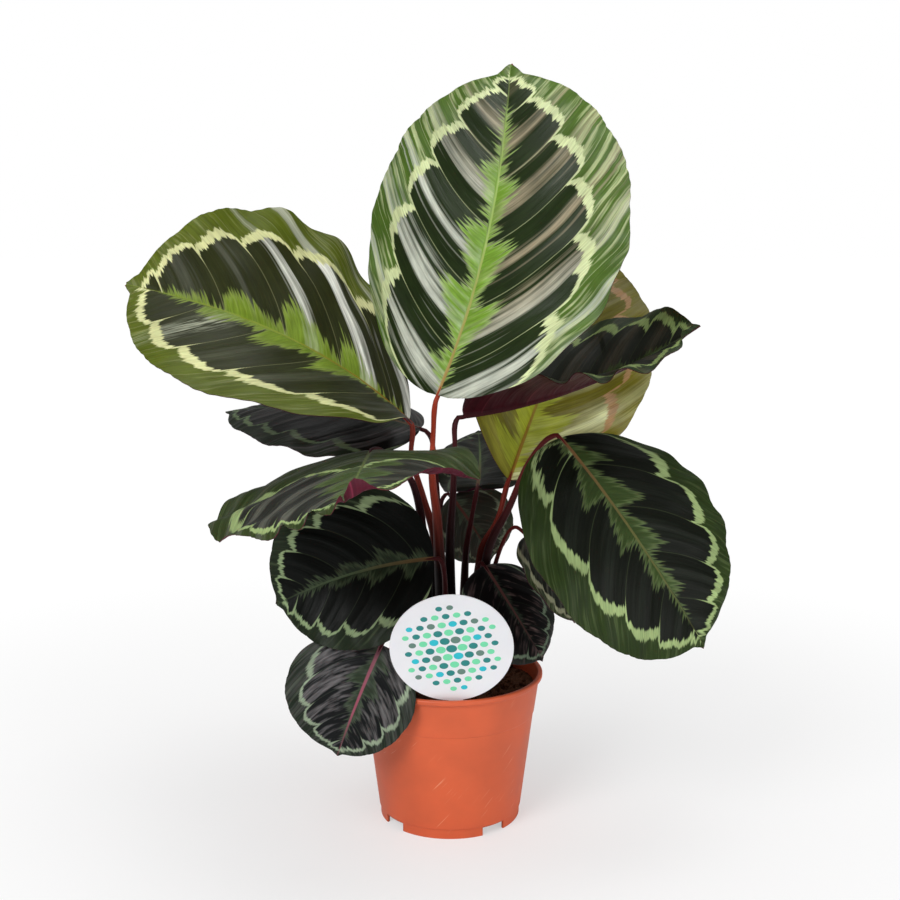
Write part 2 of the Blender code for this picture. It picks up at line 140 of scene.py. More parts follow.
# The same leaves as in the part's source. at: where the stalk meets the blade. heading, pitch and
# roll aim the blade there: heading from +X towards +Y, pitch up, roll about the midrib. droop,
# sweep and twist turn it on the way to the tip. share is the left half's share of the width. fold
# lifts both halves from the midrib, at the foot and at the tip, and curl bends them on towards the
# margin. blunt shapes the base and the tip: 0.5 is round and 1 is pointed. waves are (height,
# count, phase) for the left and the right margin, and rows is the number of mesh rows along the
# midrib. foot is where the stalk leaves the compost, via the points it passes, and thick its
# radius there and at the blade.
LEAVES = {
    "01": dict(
        at=(-8, -42, 283), heading=34, pitch=62, roll=8, length=205, width=188,
        droop=-21, sweep=10, twist=22, share=0.49, fold=(7, 7), curl=-15, blunt=(0.5, 0.5),
        waves=((1.5, 4, 0), (2.5, 5, 60)), rows=180,
        foot=(-3, -9), via=((-8, -18, 201), (-11, -30, 232), (-10, -40, 261)), thick=(2.9, 1.6),
    ),
    "02": dict(
        at=(-26, 23, 257), heading=198, pitch=45, roll=-19, length=203, width=186,
        droop=44, sweep=-2, twist=-43, share=0.48, fold=(14, 14), curl=-7, blunt=(0.58, 0.55),
        waves=((1.5, 4, 90), (3, 5, 30)), rows=180,
        foot=(-10, 4), via=((-10, 6, 182), (-17, 16, 206), (-25, 24, 234)), thick=(2.8, 1.7),
    ),
    "03": dict(
        at=(8, 6, 263), heading=-2, pitch=7, roll=-2, length=161, width=110,
        droop=-33, sweep=-15, twist=23, share=0.51, fold=(52, 15), curl=-19, blunt=(0.5, 0.6),
        waves=((1.5, 5, 0), (3, 6, 0)), rows=150,
        foot=(1, 3), via=((0, 4, 179), (2, 4, 215), (3, 4, 244)), thick=(2.6, 1.7),
    ),
    "04": dict(
        at=(39, 36, 215), heading=60, pitch=50, roll=40, length=191, width=133,
        droop=0, sweep=-4, twist=2, share=0.5, fold=(25, 25), curl=-7, blunt=(0.72, 0.5),
        waves=((2, 4, 0), (3, 4, 45)), rows=160,
        foot=(15, 9), via=((20, 10, 172), (31, 22, 191)), thick=(2.8, 1.8),
    ),
    "05": dict(
        at=(68, -22, 254), heading=-47, pitch=-36, roll=12, length=157, width=136,
        droop=39, sweep=15, twist=9, share=0.49, fold=(7, 7), curl=-18, blunt=(0.5, 0.5),
        waves=((1.5, 5, 0), (1.5, 4, 90)), rows=150,
        foot=(17, -1), via=((24, -2, 175), (38, -4, 207), (51, -10, 239)), thick=(2.8, 1.6),
    ),
    "06": dict(
        at=(49, -12, 189), heading=-41, pitch=-45, roll=-5, length=62, width=57,
        droop=14, sweep=1, twist=-7, share=0.5, fold=(6, 6), curl=-9, blunt=(0.5, 0.5),
        waves=((1, 3, 0), (1, 3, 90)), rows=90,
        foot=(24, 3), via=((28, 3, 160), (35, 1, 184), (41, -5, 193)), thick=(1.8, 1.1),
    ),
    "07": dict(
        at=(22, -13, 170), heading=-42, pitch=-45, roll=12, length=70, width=72,
        droop=19, sweep=11, twist=-7, share=0.5, fold=(4, 4), curl=-21, blunt=(0.5, 0.5),
        waves=((1, 3, 0), (1, 3, 90)), rows=100,
        foot=(9, -12), via=((12, -12, 150), (18, -10, 168)), thick=(2.2, 1.4),
    ),
    "08": dict(
        at=(-10, -29, 179), heading=186, pitch=-3, roll=-62, length=105, width=104,
        droop=26, sweep=20, twist=-11, share=0.47, fold=(12, 12), curl=-2, blunt=(0.5, 0.5),
        waves=((1, 4, 0), (1.5, 4, 90)), rows=120,
        foot=(-4, -19), via=((-3, -22, 150), (-4, -26, 172)), thick=(2.5, 1.5),
    ),
    "09": dict(
        at=(-42, -46, 129), heading=211, pitch=-61, roll=-51, length=74, width=81,
        droop=9, sweep=5, twist=-7, share=0.43, fold=(6, 6), curl=-8, blunt=(0.5, 0.5),
        waves=((-1, 2, 0), (-5, 1, 30)), rows=110,
        foot=(-15, -17), via=((-18, -21, 116), (-29, -33, 138), (-37, -41, 138)), thick=(2.4, 1.4),
    ),
    "10": dict(
        at=(-48, -36, 249), heading=265, pitch=-4, roll=7, length=124, width=160,
        droop=-4, sweep=4, twist=12, share=0.43, fold=(2, 2), curl=-18, blunt=(0.5, 0.5),
        waves=((8, 1.5, -18), (3, 4, 40)), rows=150,
        foot=(-14, -5), via=((-16, -3, 170), (-23, -2, 219), (-40, -12, 242)), thick=(2.7, 1.6),
    ),
    "11": dict(
        at=(-19, 56, 246), heading=169, pitch=17, roll=-16, length=139, width=120,
        droop=28, sweep=6, twist=14, share=0.5, fold=(0, 0), curl=-21, blunt=(0.5, 0.5),
        waves=((1.5, 4, 0), (1.5, 4, 90)), rows=130,
        foot=(-5, 14), via=((-7, 20, 166), (-9, 38, 212), (-12, 53, 238)), thick=(2.6, 1.6),
    ),
    "12": dict(
        at=(1, 47, 201), heading=-14, pitch=-50, roll=48, length=50, width=60,
        droop=9, sweep=-9, twist=-2, share=0.5, fold=(11, 11), curl=-3, blunt=(0.5, 0.5),
        waves=((1, 3, 0), (1, 3, 90)), rows=90,
        foot=(2, 23), via=((-1, 42, 160), (-6, 51, 194)), thick=(2.2, 1.3),
    ),
    "13": dict(
        at=(18, 31, 212), heading=85, pitch=9, roll=-4, length=100, width=62,
        droop=-5, sweep=7, twist=-2, share=0.5, fold=(4, 4), curl=-13, blunt=(0.5, 0.5),
        waves=((1, 3, 0), (1, 3, 90)), rows=100,
        foot=(9, 13), via=((10, 14, 167), (14, 21, 192)), thick=(2.4, 1.5),
    ),
}

# How a blade's upper face is marked. Shares are of the blade's length or width, a pair of numbers or
# colours is for the left and the right half, and a lobe lies between two side veins.
# - slot: the record's material slot. lobes: how many along the midrib. phase: where each half starts
# - ring_at, ring_span, ring_tip, ring_width: the pale ring's place out from the midrib, its two ends
#   along it, how square it closes at the tip, and its width. In each lobe, depth swings it inwards
#   and slant tilts it
# - feather: half the light zone's width. It is full from feather_from and gone at feather_to, and
#   fringe is how pale its edge gets
# - margin, ring, dark, glow: colours outside the ring, of it, inside it and of the feather. rib and
#   stalk: the midrib's and the stalk's colours at the foot and the tip. The stalk's dark foot colour is
#   its maroon with painted shade. under: the underside
# - gloss: the shader's specular level
# - sheen: colour and strength of the painted highlight streaks on each half, which stand in for light
#   off the wax and fade out over sheen_span. streak and streak_across: their length and width in
#   millimetres. crest and trough: where in a lobe they gather, and how far they stay out of the rest.
#   base_sheen: their colour in the first lobes, and how many of these there are on each half.
#   highlight_smear: the number and strength of one lobe on the left half smeared with a painted
#   highlight. margin_sheen: their share in the margin
# - flecks, fleck_size, fleck_from: strength, size in millimetres and threshold of the margin's pale
#   flecks. lines: strength of the pale lines on the side veins, which are painted highlights along
#   the veins. tone: brightness at the foot and tip
# - flips lift the margin: side, place, spread along the midrib, and height in millimetres. scallops
#   do it round the tip, where place and spread are millimetres out from the midrib, and the last
#   number is how far the margin rolls back for each millimetre of height
# - sheath: how much the stalk's foot is thickened by the sheath that clasps it
DARK_LEAF = dict(
    slot="leaf_dark", lobes=4.4, phase=(0.3, 0.6), ring_at=(0.74, 0.74), ring_span=(-0.01, 0.94),
    ring_tip=1.75, ring_width=0.028, depth=0.07, slant=0.25, feather=0.11, feather_from=0.15,
    feather_to=0.9, fringe=0.2, margin="#28331f", ring="#93a57c", dark="#0c100d", glow="#37462d",
    rib=("#6a4a33", "#55683f"), under="#43182a", stalk=("#1a0708", "#451416"), gloss=0.2,
    sheen=(("#3c3d3a", 0.3), ("#3c3d3a", 0.3)), sheen_span=(1.0, 1.2), streak=150.0, streak_across=2.9,
    crest=(0.1, 0.36), trough=-0.16, base_sheen=None, highlight_smear=None, margin_sheen=0.75, flecks=0.12,
    fleck_size=(3.0, 16.0), fleck_from=0.54, lines=0.06, tone=(1.0, 1.0), flips=(), scallops=(),
    sheath=0.6,
)
MARKS = {
    "01": dict(
        slot="leaf_large", lobes=5.2, ring_at=(0.74, 0.73), ring_span=(-0.01, 0.952), ring_tip=1.45,
        ring_width=0.031, depth=0.06, feather=0.13, feather_from=0.2, fringe=0.4, margin="#466020",
        ring="#c3cd9a", dark="#1c290c", glow="#6f9430", rib=("#a67c48", "#9db663"),
        stalk=("#180707", "#93331f"), gloss=0.24, sheen=(("#a29a82", 0.8), ("#a89c80", 0.75)),
        sheen_span=(0.86, 1.08), streak_across=3.4, crest=(0.06, 0.32), trough=-0.05,
        base_sheen=("#d2d6c6", 3.0, 0.9), margin_sheen=0.8, flecks=0.55, fleck_size=(4.0, 18.0),
        fleck_from=0.515, lines=0.36, sheath=1.2,
    ),
    "02": dict(
        slot="leaf_large", lobes=5, ring_at=(0.74, 0.72), ring_width=0.03, depth=0.05, slant=0.16,
        feather=0.175, feather_from=0.42, fringe=0.15, margin="#4c5713", ring="#c2c48e",
        dark="#24280b", glow="#667c22", rib=("#8a5a20", "#78862c"), stalk=("#180808", "#8a3528"),
        gloss=0.15, sheen=(("#a9ae98", 0.08), ("#e2e4d8", 1.05)), sheen_span=(0.5, 0.66),
        streak_across=4.4, crest=(0.04, 0.26), highlight_smear=(3.55, 0.6), margin_sheen=0.35, flecks=0.15,
        lines=0.15, flips=(("left", 0.09, 0.05, 7.0),), sheath=0.9,
    ),
    "03": dict(
        lobes=5.5, ring_at=(0.76, 0.76), ring_width=0.042, feather=0.1, margin="#26331a",
        ring="#84985c", dark="#161a0d", glow="#33441f", under="#3f0a14", stalk=("#18080a", "#3f1418"),
        gloss=0.16, sheen=(("#4d4636", 0.45), ("#4d4636", 0.45)),
        flips=(("right", 0.55, 0.04, 2.0), ("right", 0.72, 0.04, 2.5)),
        scallops=(("right", 8.0, 7.0, 7.0, 0.5), ("left", 22.0, 12.0, 8.0, 0.0)), sheath=1.0,
    ),
    "04": dict(
        slot="leaf_olive", lobes=5.5, ring_at=(0.72, 0.72), ring_width=0.035, depth=0.06, feather=0.2,
        fringe=0.0, margin="#7c7614", ring="#b48e5e", dark="#6f6a15", glow="#a0a92e",
        rib=("#9a6420", "#94862c"), under="#5a1c2c", stalk=("#1a0809", "#7a2a1e"), gloss=0.3,
        sheen=(("#a9a83c", 0.6), ("#e4e7ac", 1.2)), sheen_span=(0.2, 0.5), streak=70.0,
        streak_across=9.0, trough=-0.03, margin_sheen=0.4, tone=(1.12, 0.55), sheath=0.75,
    ),
    "05": dict(
        lobes=4.8, ring_at=(0.74, 0.66), ring_span=(0.03, 0.95), ring_width=0.035, depth=0.06,
        slant=0.2, feather=0.13, fringe=0.35, margin="#263513", ring="#93a770", dark="#0e120a",
        glow="#374822", rib=("#6f4a30", "#5f5f36"), stalk=("#18080a", "#5a1c1c"), gloss=0.15,
        sheen=(("#2c322a", 0.25), ("#2c322a", 0.25)), tone=(0.62, 1.12), sheath=0.8,
    ),
    "06": dict(
        ring_width=0.06, margin="#3a4c24", ring="#c3c8a0", dark="#1a2212", glow="#4a5f3e",
        stalk=("#33100f", "#6a221e"), sheen=(("#b4b39c", 0.6), ("#b4b39c", 0.6)), streak=18.0,
        flecks=0.45, fleck_size=(3.0, 9.0), sheath=0.7,
    ),
    "07": dict(
        feather=0.05, margin="#1c201a", ring="#7b8f76", dark="#100f0f", glow="#1d231c",
        rib=("#7a4a45", "#5a3a38"), sheen=(("#957f7a", 0.75), ("#7c6865", 0.7)), streak=12.0,
    ),
    "08": dict(
        feather=0.1, margin="#1f281a", ring="#879b72", dark="#080b08", glow="#252f20",
        rib=("#6c4c2c", "#4c5a40"), gloss=0.12, sheen=(("#161a17", 0.3), ("#161a17", 0.3)),
    ),
    "09": dict(
        lobes=4, feather=0.12, margin="#1b241a", ring="#8b9a82", dark="#0d1011", glow="#2c3828",
        rib=("#8a5560", "#9a5062"), sheen=(("#a19d9c", 0.4), ("#a19d9e", 0.42)), streak=11.0,
        margin_sheen=0.35,
    ),
    "10": dict(
        lobes=5, ring_at=(0.78, 0.78), ring_span=(0.31, 0.96), depth=0.05, slant=0.15, feather=0.15,
        feather_to=1.05, margin="#2e3a1b", ring="#8c9f69", dark="#242520", glow="#3f4e28",
        rib=("#4f5430", "#5e6e3b"), under="#5a1a2c", stalk=("#160708", "#3b1418"), gloss=0.15,
        sheen=(("#5c5d52", 0.42), ("#66675c", 0.55)), tone=(0.85, 1.15),
        scallops=(
            ("left", 8.0, 7.0, 8.0, 0.6), ("left", 26.0, 10.0, -3.0, 0.0),
            ("right", 1.0, 3.0, 3.0, 0.6), ("right", 11.0, 5.0, -4.0, 0.0),
            ("right", 20.0, 2.5, 3.5, 0.6), ("right", 29.0, 5.0, -4.0, 0.0),
            ("right", 38.0, 2.5, 3.0, 0.6), ("right", 48.0, 7.0, -3.0, 0.0),
        ),
        sheath=1.0,
    ),
    "11": dict(
        lobes=5, margin="#20281b", ring="#667857", dark="#131410", glow="#263323",
        sheen=(("#6b6967", 0.7), ("#6b6967", 0.7)), streak=45.0,
    ),
    "12": dict(
        margin="#434d3b", ring="#8a967c", dark="#37392f", glow="#475340", rib=("#7a4038", "#6a4238"),
        gloss=0.24, sheen=(("#63685a", 0.7), ("#63685a", 0.7)), streak=40.0,
    ),
    "13": dict(
        margin="#1b2014", ring="#5a664e", dark="#11130c", glow="#232b1b",
        sheen=(("#666b5c", 0.3), ("#666b5c", 0.3)), streak=30.0,
        flips=(("left", 0.25, 0.28, -9.0), ("right", 0.25, 0.28, -7.0)), sheath=1.0,
    ),
}

# Settings of a Mix node for two colours, which are its sockets 6 and 7. Socket 0 is the second
# one's share.
MIX = dict(out=2, data_type="RGBA")
# Nearly all of a noise pattern's values lie between these
NOISE = (0.3, 0.7)


def linear(code):
    """An sRGB hex colour as linear red, green, blue and alpha."""
    parts = [int(code[k:k + 2], 16) / 255 for k in (1, 3, 5)]
    return (*(c / 12.92 if c <= 0.04045 else ((c + 0.055) / 1.055) ** 2.4 for c in parts), 1.0)


def toned(colour, by, lift=0.0):
    """A linear colour made darker or lighter, with alpha."""
    return (*(min(1.0, c * by + lift) for c in colour[:3]), 1.0)


def put(tree, kind, sockets=(), out=0, **settings):
    """Adds a node with its settings and links, and returns one of its outputs.

    sockets holds values or links, in order from the first or by number or name.
    """
    node = tree.nodes.new("ShaderNode" + kind)
    for key, value in settings.items():
        setattr(node, key, value)
    for key, value in sockets.items() if isinstance(sockets, dict) else enumerate(sockets):
        if isinstance(value, bpy.types.NodeSocket):
            tree.links.new(value, node.inputs[key])
        else:
            node.inputs[key].default_value = value
    return node.outputs[out]


def start_material(name, **sockets):
    """A Principled material with the values that are the same all over its surface."""
    made = bpy.data.materials.new(name)
    made.use_nodes = True
    shader = made.node_tree.nodes["Principled BSDF"]
    for key, value in sockets.items():
        shader.inputs[key.replace("_", " ")].default_value = value
    return made, made.node_tree


def finish_material(made, colour, rough=None, relief=None, strength=0.5, depth=0.3):
    """Links a material's patterns to its shader. depth is the relief's, in millimetres."""
    tree = made.node_tree
    if relief:
        relief = put(tree, "Bump", {"Strength": strength, "Distance": depth * MM, "Height": relief})
    for socket, value in (("Base Color", colour), ("Roughness", rough), ("Normal", relief)):
        if value:
            tree.links.new(value, tree.nodes["Principled BSDF"].inputs[socket])
    return made


def add_object(name, data):
    """Puts a mesh, a light or a camera in the scene."""
    made = bpy.data.objects.new(name, data)
    bpy.context.scene.collection.objects.link(made)
    return made


def add_piece(name, mesh, slot, *nodes):
    """Puts a mesh in the scene, on the plant's one body, in place of its solid nodes."""
    made = add_object(name, mesh)
    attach(made, "root")
    if nodes:
        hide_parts(*nodes)
    return made


def mesh_of(name, points, faces, looks, sharp=50, kinds=None, origin=POT_AXIS):
    """A smooth-shaded mesh from points in millimetres. kinds is the number of each face's look."""
    mesh = bpy.data.meshes.new(name)
    places = np.asarray(points, float) * MM + np.array(origin)
    mesh.from_pydata(places.tolist(), [], [list(map(int, f)) for f in faces])
    for look in looks:
        mesh.materials.append(look)
    if kinds is not None:
        mesh.polygons.foreach_set("material_index", np.asarray(kinds, np.int32))
    mesh.shade_smooth()
    mesh.set_sharp_from_angle(angle=math.radians(sharp))
    return mesh


def add_uv(mesh, name, values):
    """A UV layer from one pair of numbers for each point."""
    corner = np.empty(len(mesh.loops), np.int32)
    mesh.loops.foreach_get("vertex_index", corner)
    layer = mesh.uv_layers.new(name=name)
    layer.data.foreach_set("uv", np.asarray(values, np.float32)[corner].ravel())


def add_number(mesh, name, values):
    """One number for each point, for the material to read."""
    layer = mesh.attributes.new(name, "FLOAT", "POINT")
    layer.data.foreach_set("value", np.asarray(values, np.float32).ravel())


def unit(vectors):
    """Vectors brought to length one."""
    return vectors / np.linalg.norm(vectors, axis=-1, keepdims=True)


def turn(vector, axis, angle):
    """A vector turned about a unit axis."""
    c, s = math.cos(angle), math.sin(angle)
    return vector * c + np.cross(axis, vector) * s + axis * np.dot(axis, vector) * (1 - c)


def leaf_axes(leaf, places, steps=240):
    """Midrib points, directions and face normals of a blade at the given places, 0 to 1."""
    az, el = math.radians(leaf["heading"]), math.radians(leaf["pitch"])
    ahead = np.array([math.cos(el) * math.cos(az), math.cos(el) * math.sin(az), math.sin(el)])
    face = unit(np.array([0.0, 0.0, 1.0]) - ahead * ahead[2])
    face = turn(face, ahead, math.radians(leaf["roll"]))
    here = np.array(leaf["at"], float)
    bend = [math.radians(leaf[key]) / steps for key in ("droop", "sweep", "twist")]
    track = [(here, ahead, face)]
    for _ in range(steps):
        side = np.cross(face, ahead)
        new_ahead = turn(ahead, side, bend[0])
        new_face = turn(face, side, bend[0])
        new_ahead = turn(new_ahead, new_face, bend[1])
        new_face = turn(new_face, new_ahead, bend[2])
        here = here + (ahead + new_ahead) * 0.5 * leaf["length"] / steps
        ahead = unit(new_ahead)
        face = unit(new_face - ahead * np.dot(new_face, ahead))
        track.append((here, ahead, face))
    grid = np.linspace(0, 1, steps + 1)
    out = []
    for part in range(3):
        values = np.array([entry[part] for entry in track])
        out.append(np.stack([np.interp(places, grid, values[:, k]) for k in range(3)], -1))
    return out


def half_outline(places, blunt, widest=0.45, shoulder=0.97):
    """Half the blade's width along its midrib as a share of the largest: oval, with a drip tip."""
    low = np.clip((widest - places) / widest, 0, 1)
    high = np.clip((places - widest) / (shoulder - widest), 0, 1)
    body = np.where(places < widest, (1 - low ** 2) ** blunt[0], (1 - high ** 2) ** blunt[1])
    tip = 3.0 * (1 - places) * np.clip((places - 0.88) / 0.08, 0, 1)
    return (body ** 3 + tip ** 3) ** (1 / 3)


def leaf_face(leaf, places, columns):
    """The smooth upper face: points, signed distances out from the midrib, and normals along it.

    columns run from -1 at the right margin to 1 at the left one, seen from the foot.
    """
    middle, ahead, face = leaf_axes(leaf, places)
    side = np.cross(face, ahead)
    reach = np.abs(columns)[None, :]
    left = (columns > 0)[None, :]
    half = leaf["width"] * half_outline(places, leaf["blunt"])[:, None]
    half = half * np.where(left, leaf["share"], 1 - leaf["share"])
    fold = np.radians(leaf["fold"][0] + (leaf["fold"][1] - leaf["fold"][0]) * places)[:, None]
    curl = math.radians(leaf["curl"])
    steps = (np.arange(12) + 0.5) / 12
    angle = fold[:, :, None] + curl * reach[:, :, None] * steps[None, None, :]
    out = np.cos(angle).mean(-1) * reach * half
    lift = np.sin(angle).mean(-1) * reach * half
    for on_left, (height, count, phase) in zip((True, False), leaf["waves"]):
        swell = np.sin(2 * math.pi * count * places + math.radians(phase))
        swell = swell * np.sin(math.pi * np.clip(places, 0, 1)) ** 0.4
        lift = lift + np.where(left == on_left, height * swell[:, None] * reach ** 2.5, 0)
    flat = np.where(left, out, -out)
    points = middle[:, None] + side[:, None] * flat[:, :, None] + face[:, None] * lift[:, :, None]
    return points, columns[None, :] * half, face


def vein_place(leaf, marks, places, sideways):
    """Which lobe between side veins a point lies in, counted from the base: 2.5 is mid third lobe."""
    out = np.abs(sideways)
    ahead = (0.5 * out + 1.05 * out ** 2 / leaf["width"]) * (0.8 + 0.7 * places[:, None] ** 2)
    start = places[:, None] * leaf["length"] - ahead
    phase = np.where(sideways > 0, marks["phase"][0], marks["phase"][1])
    return start * marks["lobes"] / leaf["length"] + phase


def ring_place(leaf, marks, places, sideways):
    """Distance outwards from the middle line of the pale ring, in millimetres."""
    half = leaf["width"] * np.where(sideways > 0, leaf["share"], 1 - leaf["share"])
    width = np.where(sideways > 0, *marks["ring_at"]) * half
    first, last = marks["ring_span"]
    middle, run = (first + last) / 2, (last - first) / 2
    power = np.where(places < middle, 2.5, marks["ring_tip"])[:, None]
    along = (np.abs(places - middle) / run)[:, None]
    reach = (along ** power + (np.abs(sideways) / width) ** power) ** (1 / power)
    return (reach - 1) * width


def feather_place(leaf, marks, places):
    """Half the width of the light feather along the midrib, in millimetres."""
    rise = np.clip((places - 0.02) / marks["feather_from"], 0, 1) ** 0.8
    fall = np.clip((marks["feather_to"] - places) / 0.52, 0, 1) ** 0.9
    return leaf["width"] * marks["feather"] * rise * fall


def blade_grid(rows):
    """Places along the midrib, closer at its ends, and columns across, closer at the margins."""
    even = np.linspace(0, 1, rows + 1)
    places = 0.45 * even + 0.55 * (0.5 - 0.5 * np.cos(math.pi * even))
    places[0], places[-1] = 0.002, 0.998
    half = np.linspace(0, 1, max(30, round(rows * 0.36)) + 1)[1:]
    half = 0.75 * half + 0.25 * np.sin(half * math.pi / 2)
    return places, np.concatenate([-half[::-1], [0], half])


def upper_face(leaf, marks, places, columns, veins_high):
    """The finished upper face: puffs between side veins, lifted margins and a frilled edge.

    Returns its points and normals, distances out from the midrib, lobes and the rib's height.
    """
    flat, sideways, facing = leaf_face(leaf, places, columns)
    normal = unit(np.cross(np.gradient(flat, axis=0), np.gradient(flat, axis=1)))
    normal = normal * np.sign((normal * facing[:, None]).sum(-1).mean())
    reach = np.abs(columns)[None, :]
    on_left = columns[None, :] > 0

    lobe = vein_place(leaf, marks, places, sideways)
    between = lobe - np.floor(lobe)
    puff = np.sin(math.pi * between) ** 0.8 - 0.55
    puff = puff + 0.22 * np.sin(math.pi * between) * np.cos(6 * math.pi * between)
    calm = (1 - 0.55 * reach ** 4) * np.sin(math.pi * places)[:, None] ** 0.3
    calm = calm * np.clip(np.abs(sideways) / 5, 0, 1)
    rib = np.exp(-(sideways / RIB_HALF_WIDTH) ** 2) * (1 - 0.75 * places)[:, None]
    rib = rib * leaf["thick"][1] / 1.6
    high = puff * calm * veins_high * leaf["width"] - 0.45 * rib
    for side, place, spread, lift in marks["flips"]:
        swell = np.exp(-((places[:, None] - place) / spread) ** 2)
        high = high + np.where(on_left == (side == "left"), lift * swell * reach ** 2.2, 0)

    ahead = unit(np.gradient(flat[:, len(columns) // 2], axis=0))
    rolled = np.zeros_like(flat)
    for side, place, spread, lift, roll in marks["scallops"]:
        here = (on_left == (side == "left")) & (places[:, None] > 0.6)
        swell = np.exp(-((np.abs(sideways) - place) / spread) ** 2)
        swell = np.where(here, lift * swell * reach ** 3, 0)
        rolled = rolled + (facing - roll * ahead)[:, None] * swell[:, :, None]

    edge_lobe = vein_place(leaf, marks, places, sideways[:, [0, -1]])
    frill = np.sin(math.pi * (edge_lobe - np.floor(edge_lobe))) ** 0.6 - 0.6
    frill = frill + 0.16 * np.sin(2 * math.pi * 4.3 * edge_lobe)
    frill = np.where(columns < 0, frill[:, :1], frill[:, 1:]) * reach ** 8
    across = unit(np.gradient(flat, axis=1)) * np.sign(columns)[None, :, None]
    upper = flat + normal * high[:, :, None] + across * (FRILL * leaf["width"] * frill)[:, :, None]
    return upper + rolled, normal, sideways, lobe, rib


def blade_mesh(name, leaf, marks, materials, veins_high):
    """A thin closed blade: side veins as creases between puffed lobes, and a rib beneath."""
    places, columns = blade_grid(leaf["rows"])
    upper, normal, sideways, lobe, rib = upper_face(leaf, marks, places, columns, veins_high)
    lower = upper - normal * (BLADE_THICKNESS + RIB_HEIGHT * rib)[:, :, None]
    size = sideways.size
    index = np.arange(size).reshape(sideways.shape)
    quads = np.stack([index[:-1, :-1], index[:-1, 1:], index[1:, 1:], index[1:, :-1]], -1)
    quads = quads.reshape(-1, 4)
    edge = np.concatenate([index[0], index[1:, -1], index[-1, -2::-1], index[-2:0:-1, 0]])
    after = np.roll(edge, -1)
    rim = np.stack([edge, edge + size, after + size, after], -1)
    corner = np.cross(upper[1, 1] - upper[0, 0], upper[0, 1] - upper[1, 0])
    if (corner * normal[0, 0]).sum() < 0:
        top, under = quads, quads[:, ::-1] + size
    else:
        top, under, rim = quads[:, ::-1], quads + size, rim[:, ::-1]
    kinds = np.repeat([0, 1], [len(top), len(under) + len(rim)])
    points = np.concatenate([upper.reshape(-1, 3), lower.reshape(-1, 3)])
    mesh = mesh_of(name, points, np.concatenate([top, under, rim]), materials, kinds=kinds)
    along = np.broadcast_to(places[:, None] * leaf["length"], sideways.shape)
    for label, x, y in (("place", along, sideways), ("vein", lobe, np.abs(sideways))):
        pair = np.stack([x.ravel(), y.ravel()], -1)
        add_uv(mesh, label, np.concatenate([pair, pair]))
    ring = ring_place(leaf, marks, places, sideways)
    feather = np.broadcast_to(feather_place(leaf, marks, places)[:, None], sideways.shape)
    for label, value in (("ring", ring), ("feather", feather)):
        add_number(mesh, label, np.concatenate([value.ravel(), value.ravel()]))
    return mesh


def lobe_sockets(tree):
    """Lobe number, mm out from the midrib, share of the way through the lobe, and off its middle."""
    lobe = put(tree, "SeparateXYZ", [put(tree, "UVMap", uv_map="vein")])
    between = put(tree, "Math", [lobe], operation="FRACT")
    near = put(tree, "Math", [between, 0.5], operation="SUBTRACT")
    return lobe, lobe.node.outputs[1], between, put(tree, "Math", [near], operation="ABSOLUTE")


def stroke_noise(tree, lobe, out, spacing, across, along, seed, detail=2.0):
    """Noise drawn out along the side veins. across and along are the strokes' sizes in mm."""
    x = put(tree, "Math", [lobe, spacing / across], operation="MULTIPLY")
    y = put(tree, "Math", [out, 1 / along], operation="MULTIPLY")
    place = put(tree, "CombineXYZ", [x, y, seed])
    return put(tree, "TexNoise", {"Vector": place, "Scale": 1.0, "Detail": detail})


def shaded(tree, colour, shade):
    """A colour made darker or lighter by a pattern."""
    grey = put(tree, "CombineXYZ", [shade, shade, shade])
    return put(tree, "Mix", {0: 1.0, 6: colour, 7: grey}, blend_type="MULTIPLY", **MIX)


def ring_masks(tree, leaf, marks, along, ring, between, near, jag):
    """Where the pale ring is, with its spurs on the side veins, and where the face is inside it."""
    width, length = leaf["width"], leaf["length"]
    spacing = length / marks["lobes"]
    depth = marks["depth"] * width / 2
    slant = marks["slant"] * spacing
    swing = between
    for operation, number in (("MULTIPLY", math.pi), ("SINE", 0.0), ("POWER", 0.55)):
        swing = put(tree, "Math", [swing, number], operation=operation)
    field = put(tree, "Math", [between, slant, 0.5 * (depth - slant)], operation="MULTIPLY_ADD")
    field = put(tree, "Math", [swing, -depth, field], operation="MULTIPLY_ADD")
    calm = put(tree, "MapRange", [along, 0.8 * length, 0.95 * length, 1.0, 0.25])
    field = put(tree, "Math", [field, calm, ring], operation="MULTIPLY_ADD")
    field = put(tree, "Math", [field, jag], operation="ADD")
    # The ring's edges are blurred over 1 mm
    inside = put(tree, "MapRange", [field, -0.5, 0.5, 1.0, 0.0])

    full = marks["ring_width"] * width / 2
    thick = put(tree, "Math", [swing, 0.55 * full, 0.5 * full], operation="MULTIPLY_ADD")
    for start, stop, low, high in ((0.02, 0.3, 0.1, 1.0), (0.84, 0.95, 1.0, 0.45)):
        fade = put(tree, "MapRange", [along, start * length, stop * length, low, high])
        thick = put(tree, "Math", [thick, fade], operation="MULTIPLY")
    away = put(tree, "Math", [field], operation="ABSOLUTE")
    away = put(tree, "Math", [away, thick], operation="SUBTRACT")
    mask = put(tree, "MapRange", [away, -0.5, 0.5, 1.0, 0.0])

    taper = put(tree, "MapRange", [ring, -0.1 * width, 0.0, -0.2, 1.3])
    spur = put(tree, "Math", [near, 0.5], operation="SUBTRACT")
    spur = put(tree, "Math", [spur, spacing, taper], operation="MULTIPLY_ADD")
    spur = put(tree, "MapRange", [spur, 0.0, 0.6])
    span = put(tree, "MapRange", [ring, 0.2 * depth, 0.5 * depth, 1.0, 0.0])
    spur = put(tree, "Math", [spur, span], operation="MULTIPLY")
    return put(tree, "Math", [mask, spur], operation="MAXIMUM"), inside


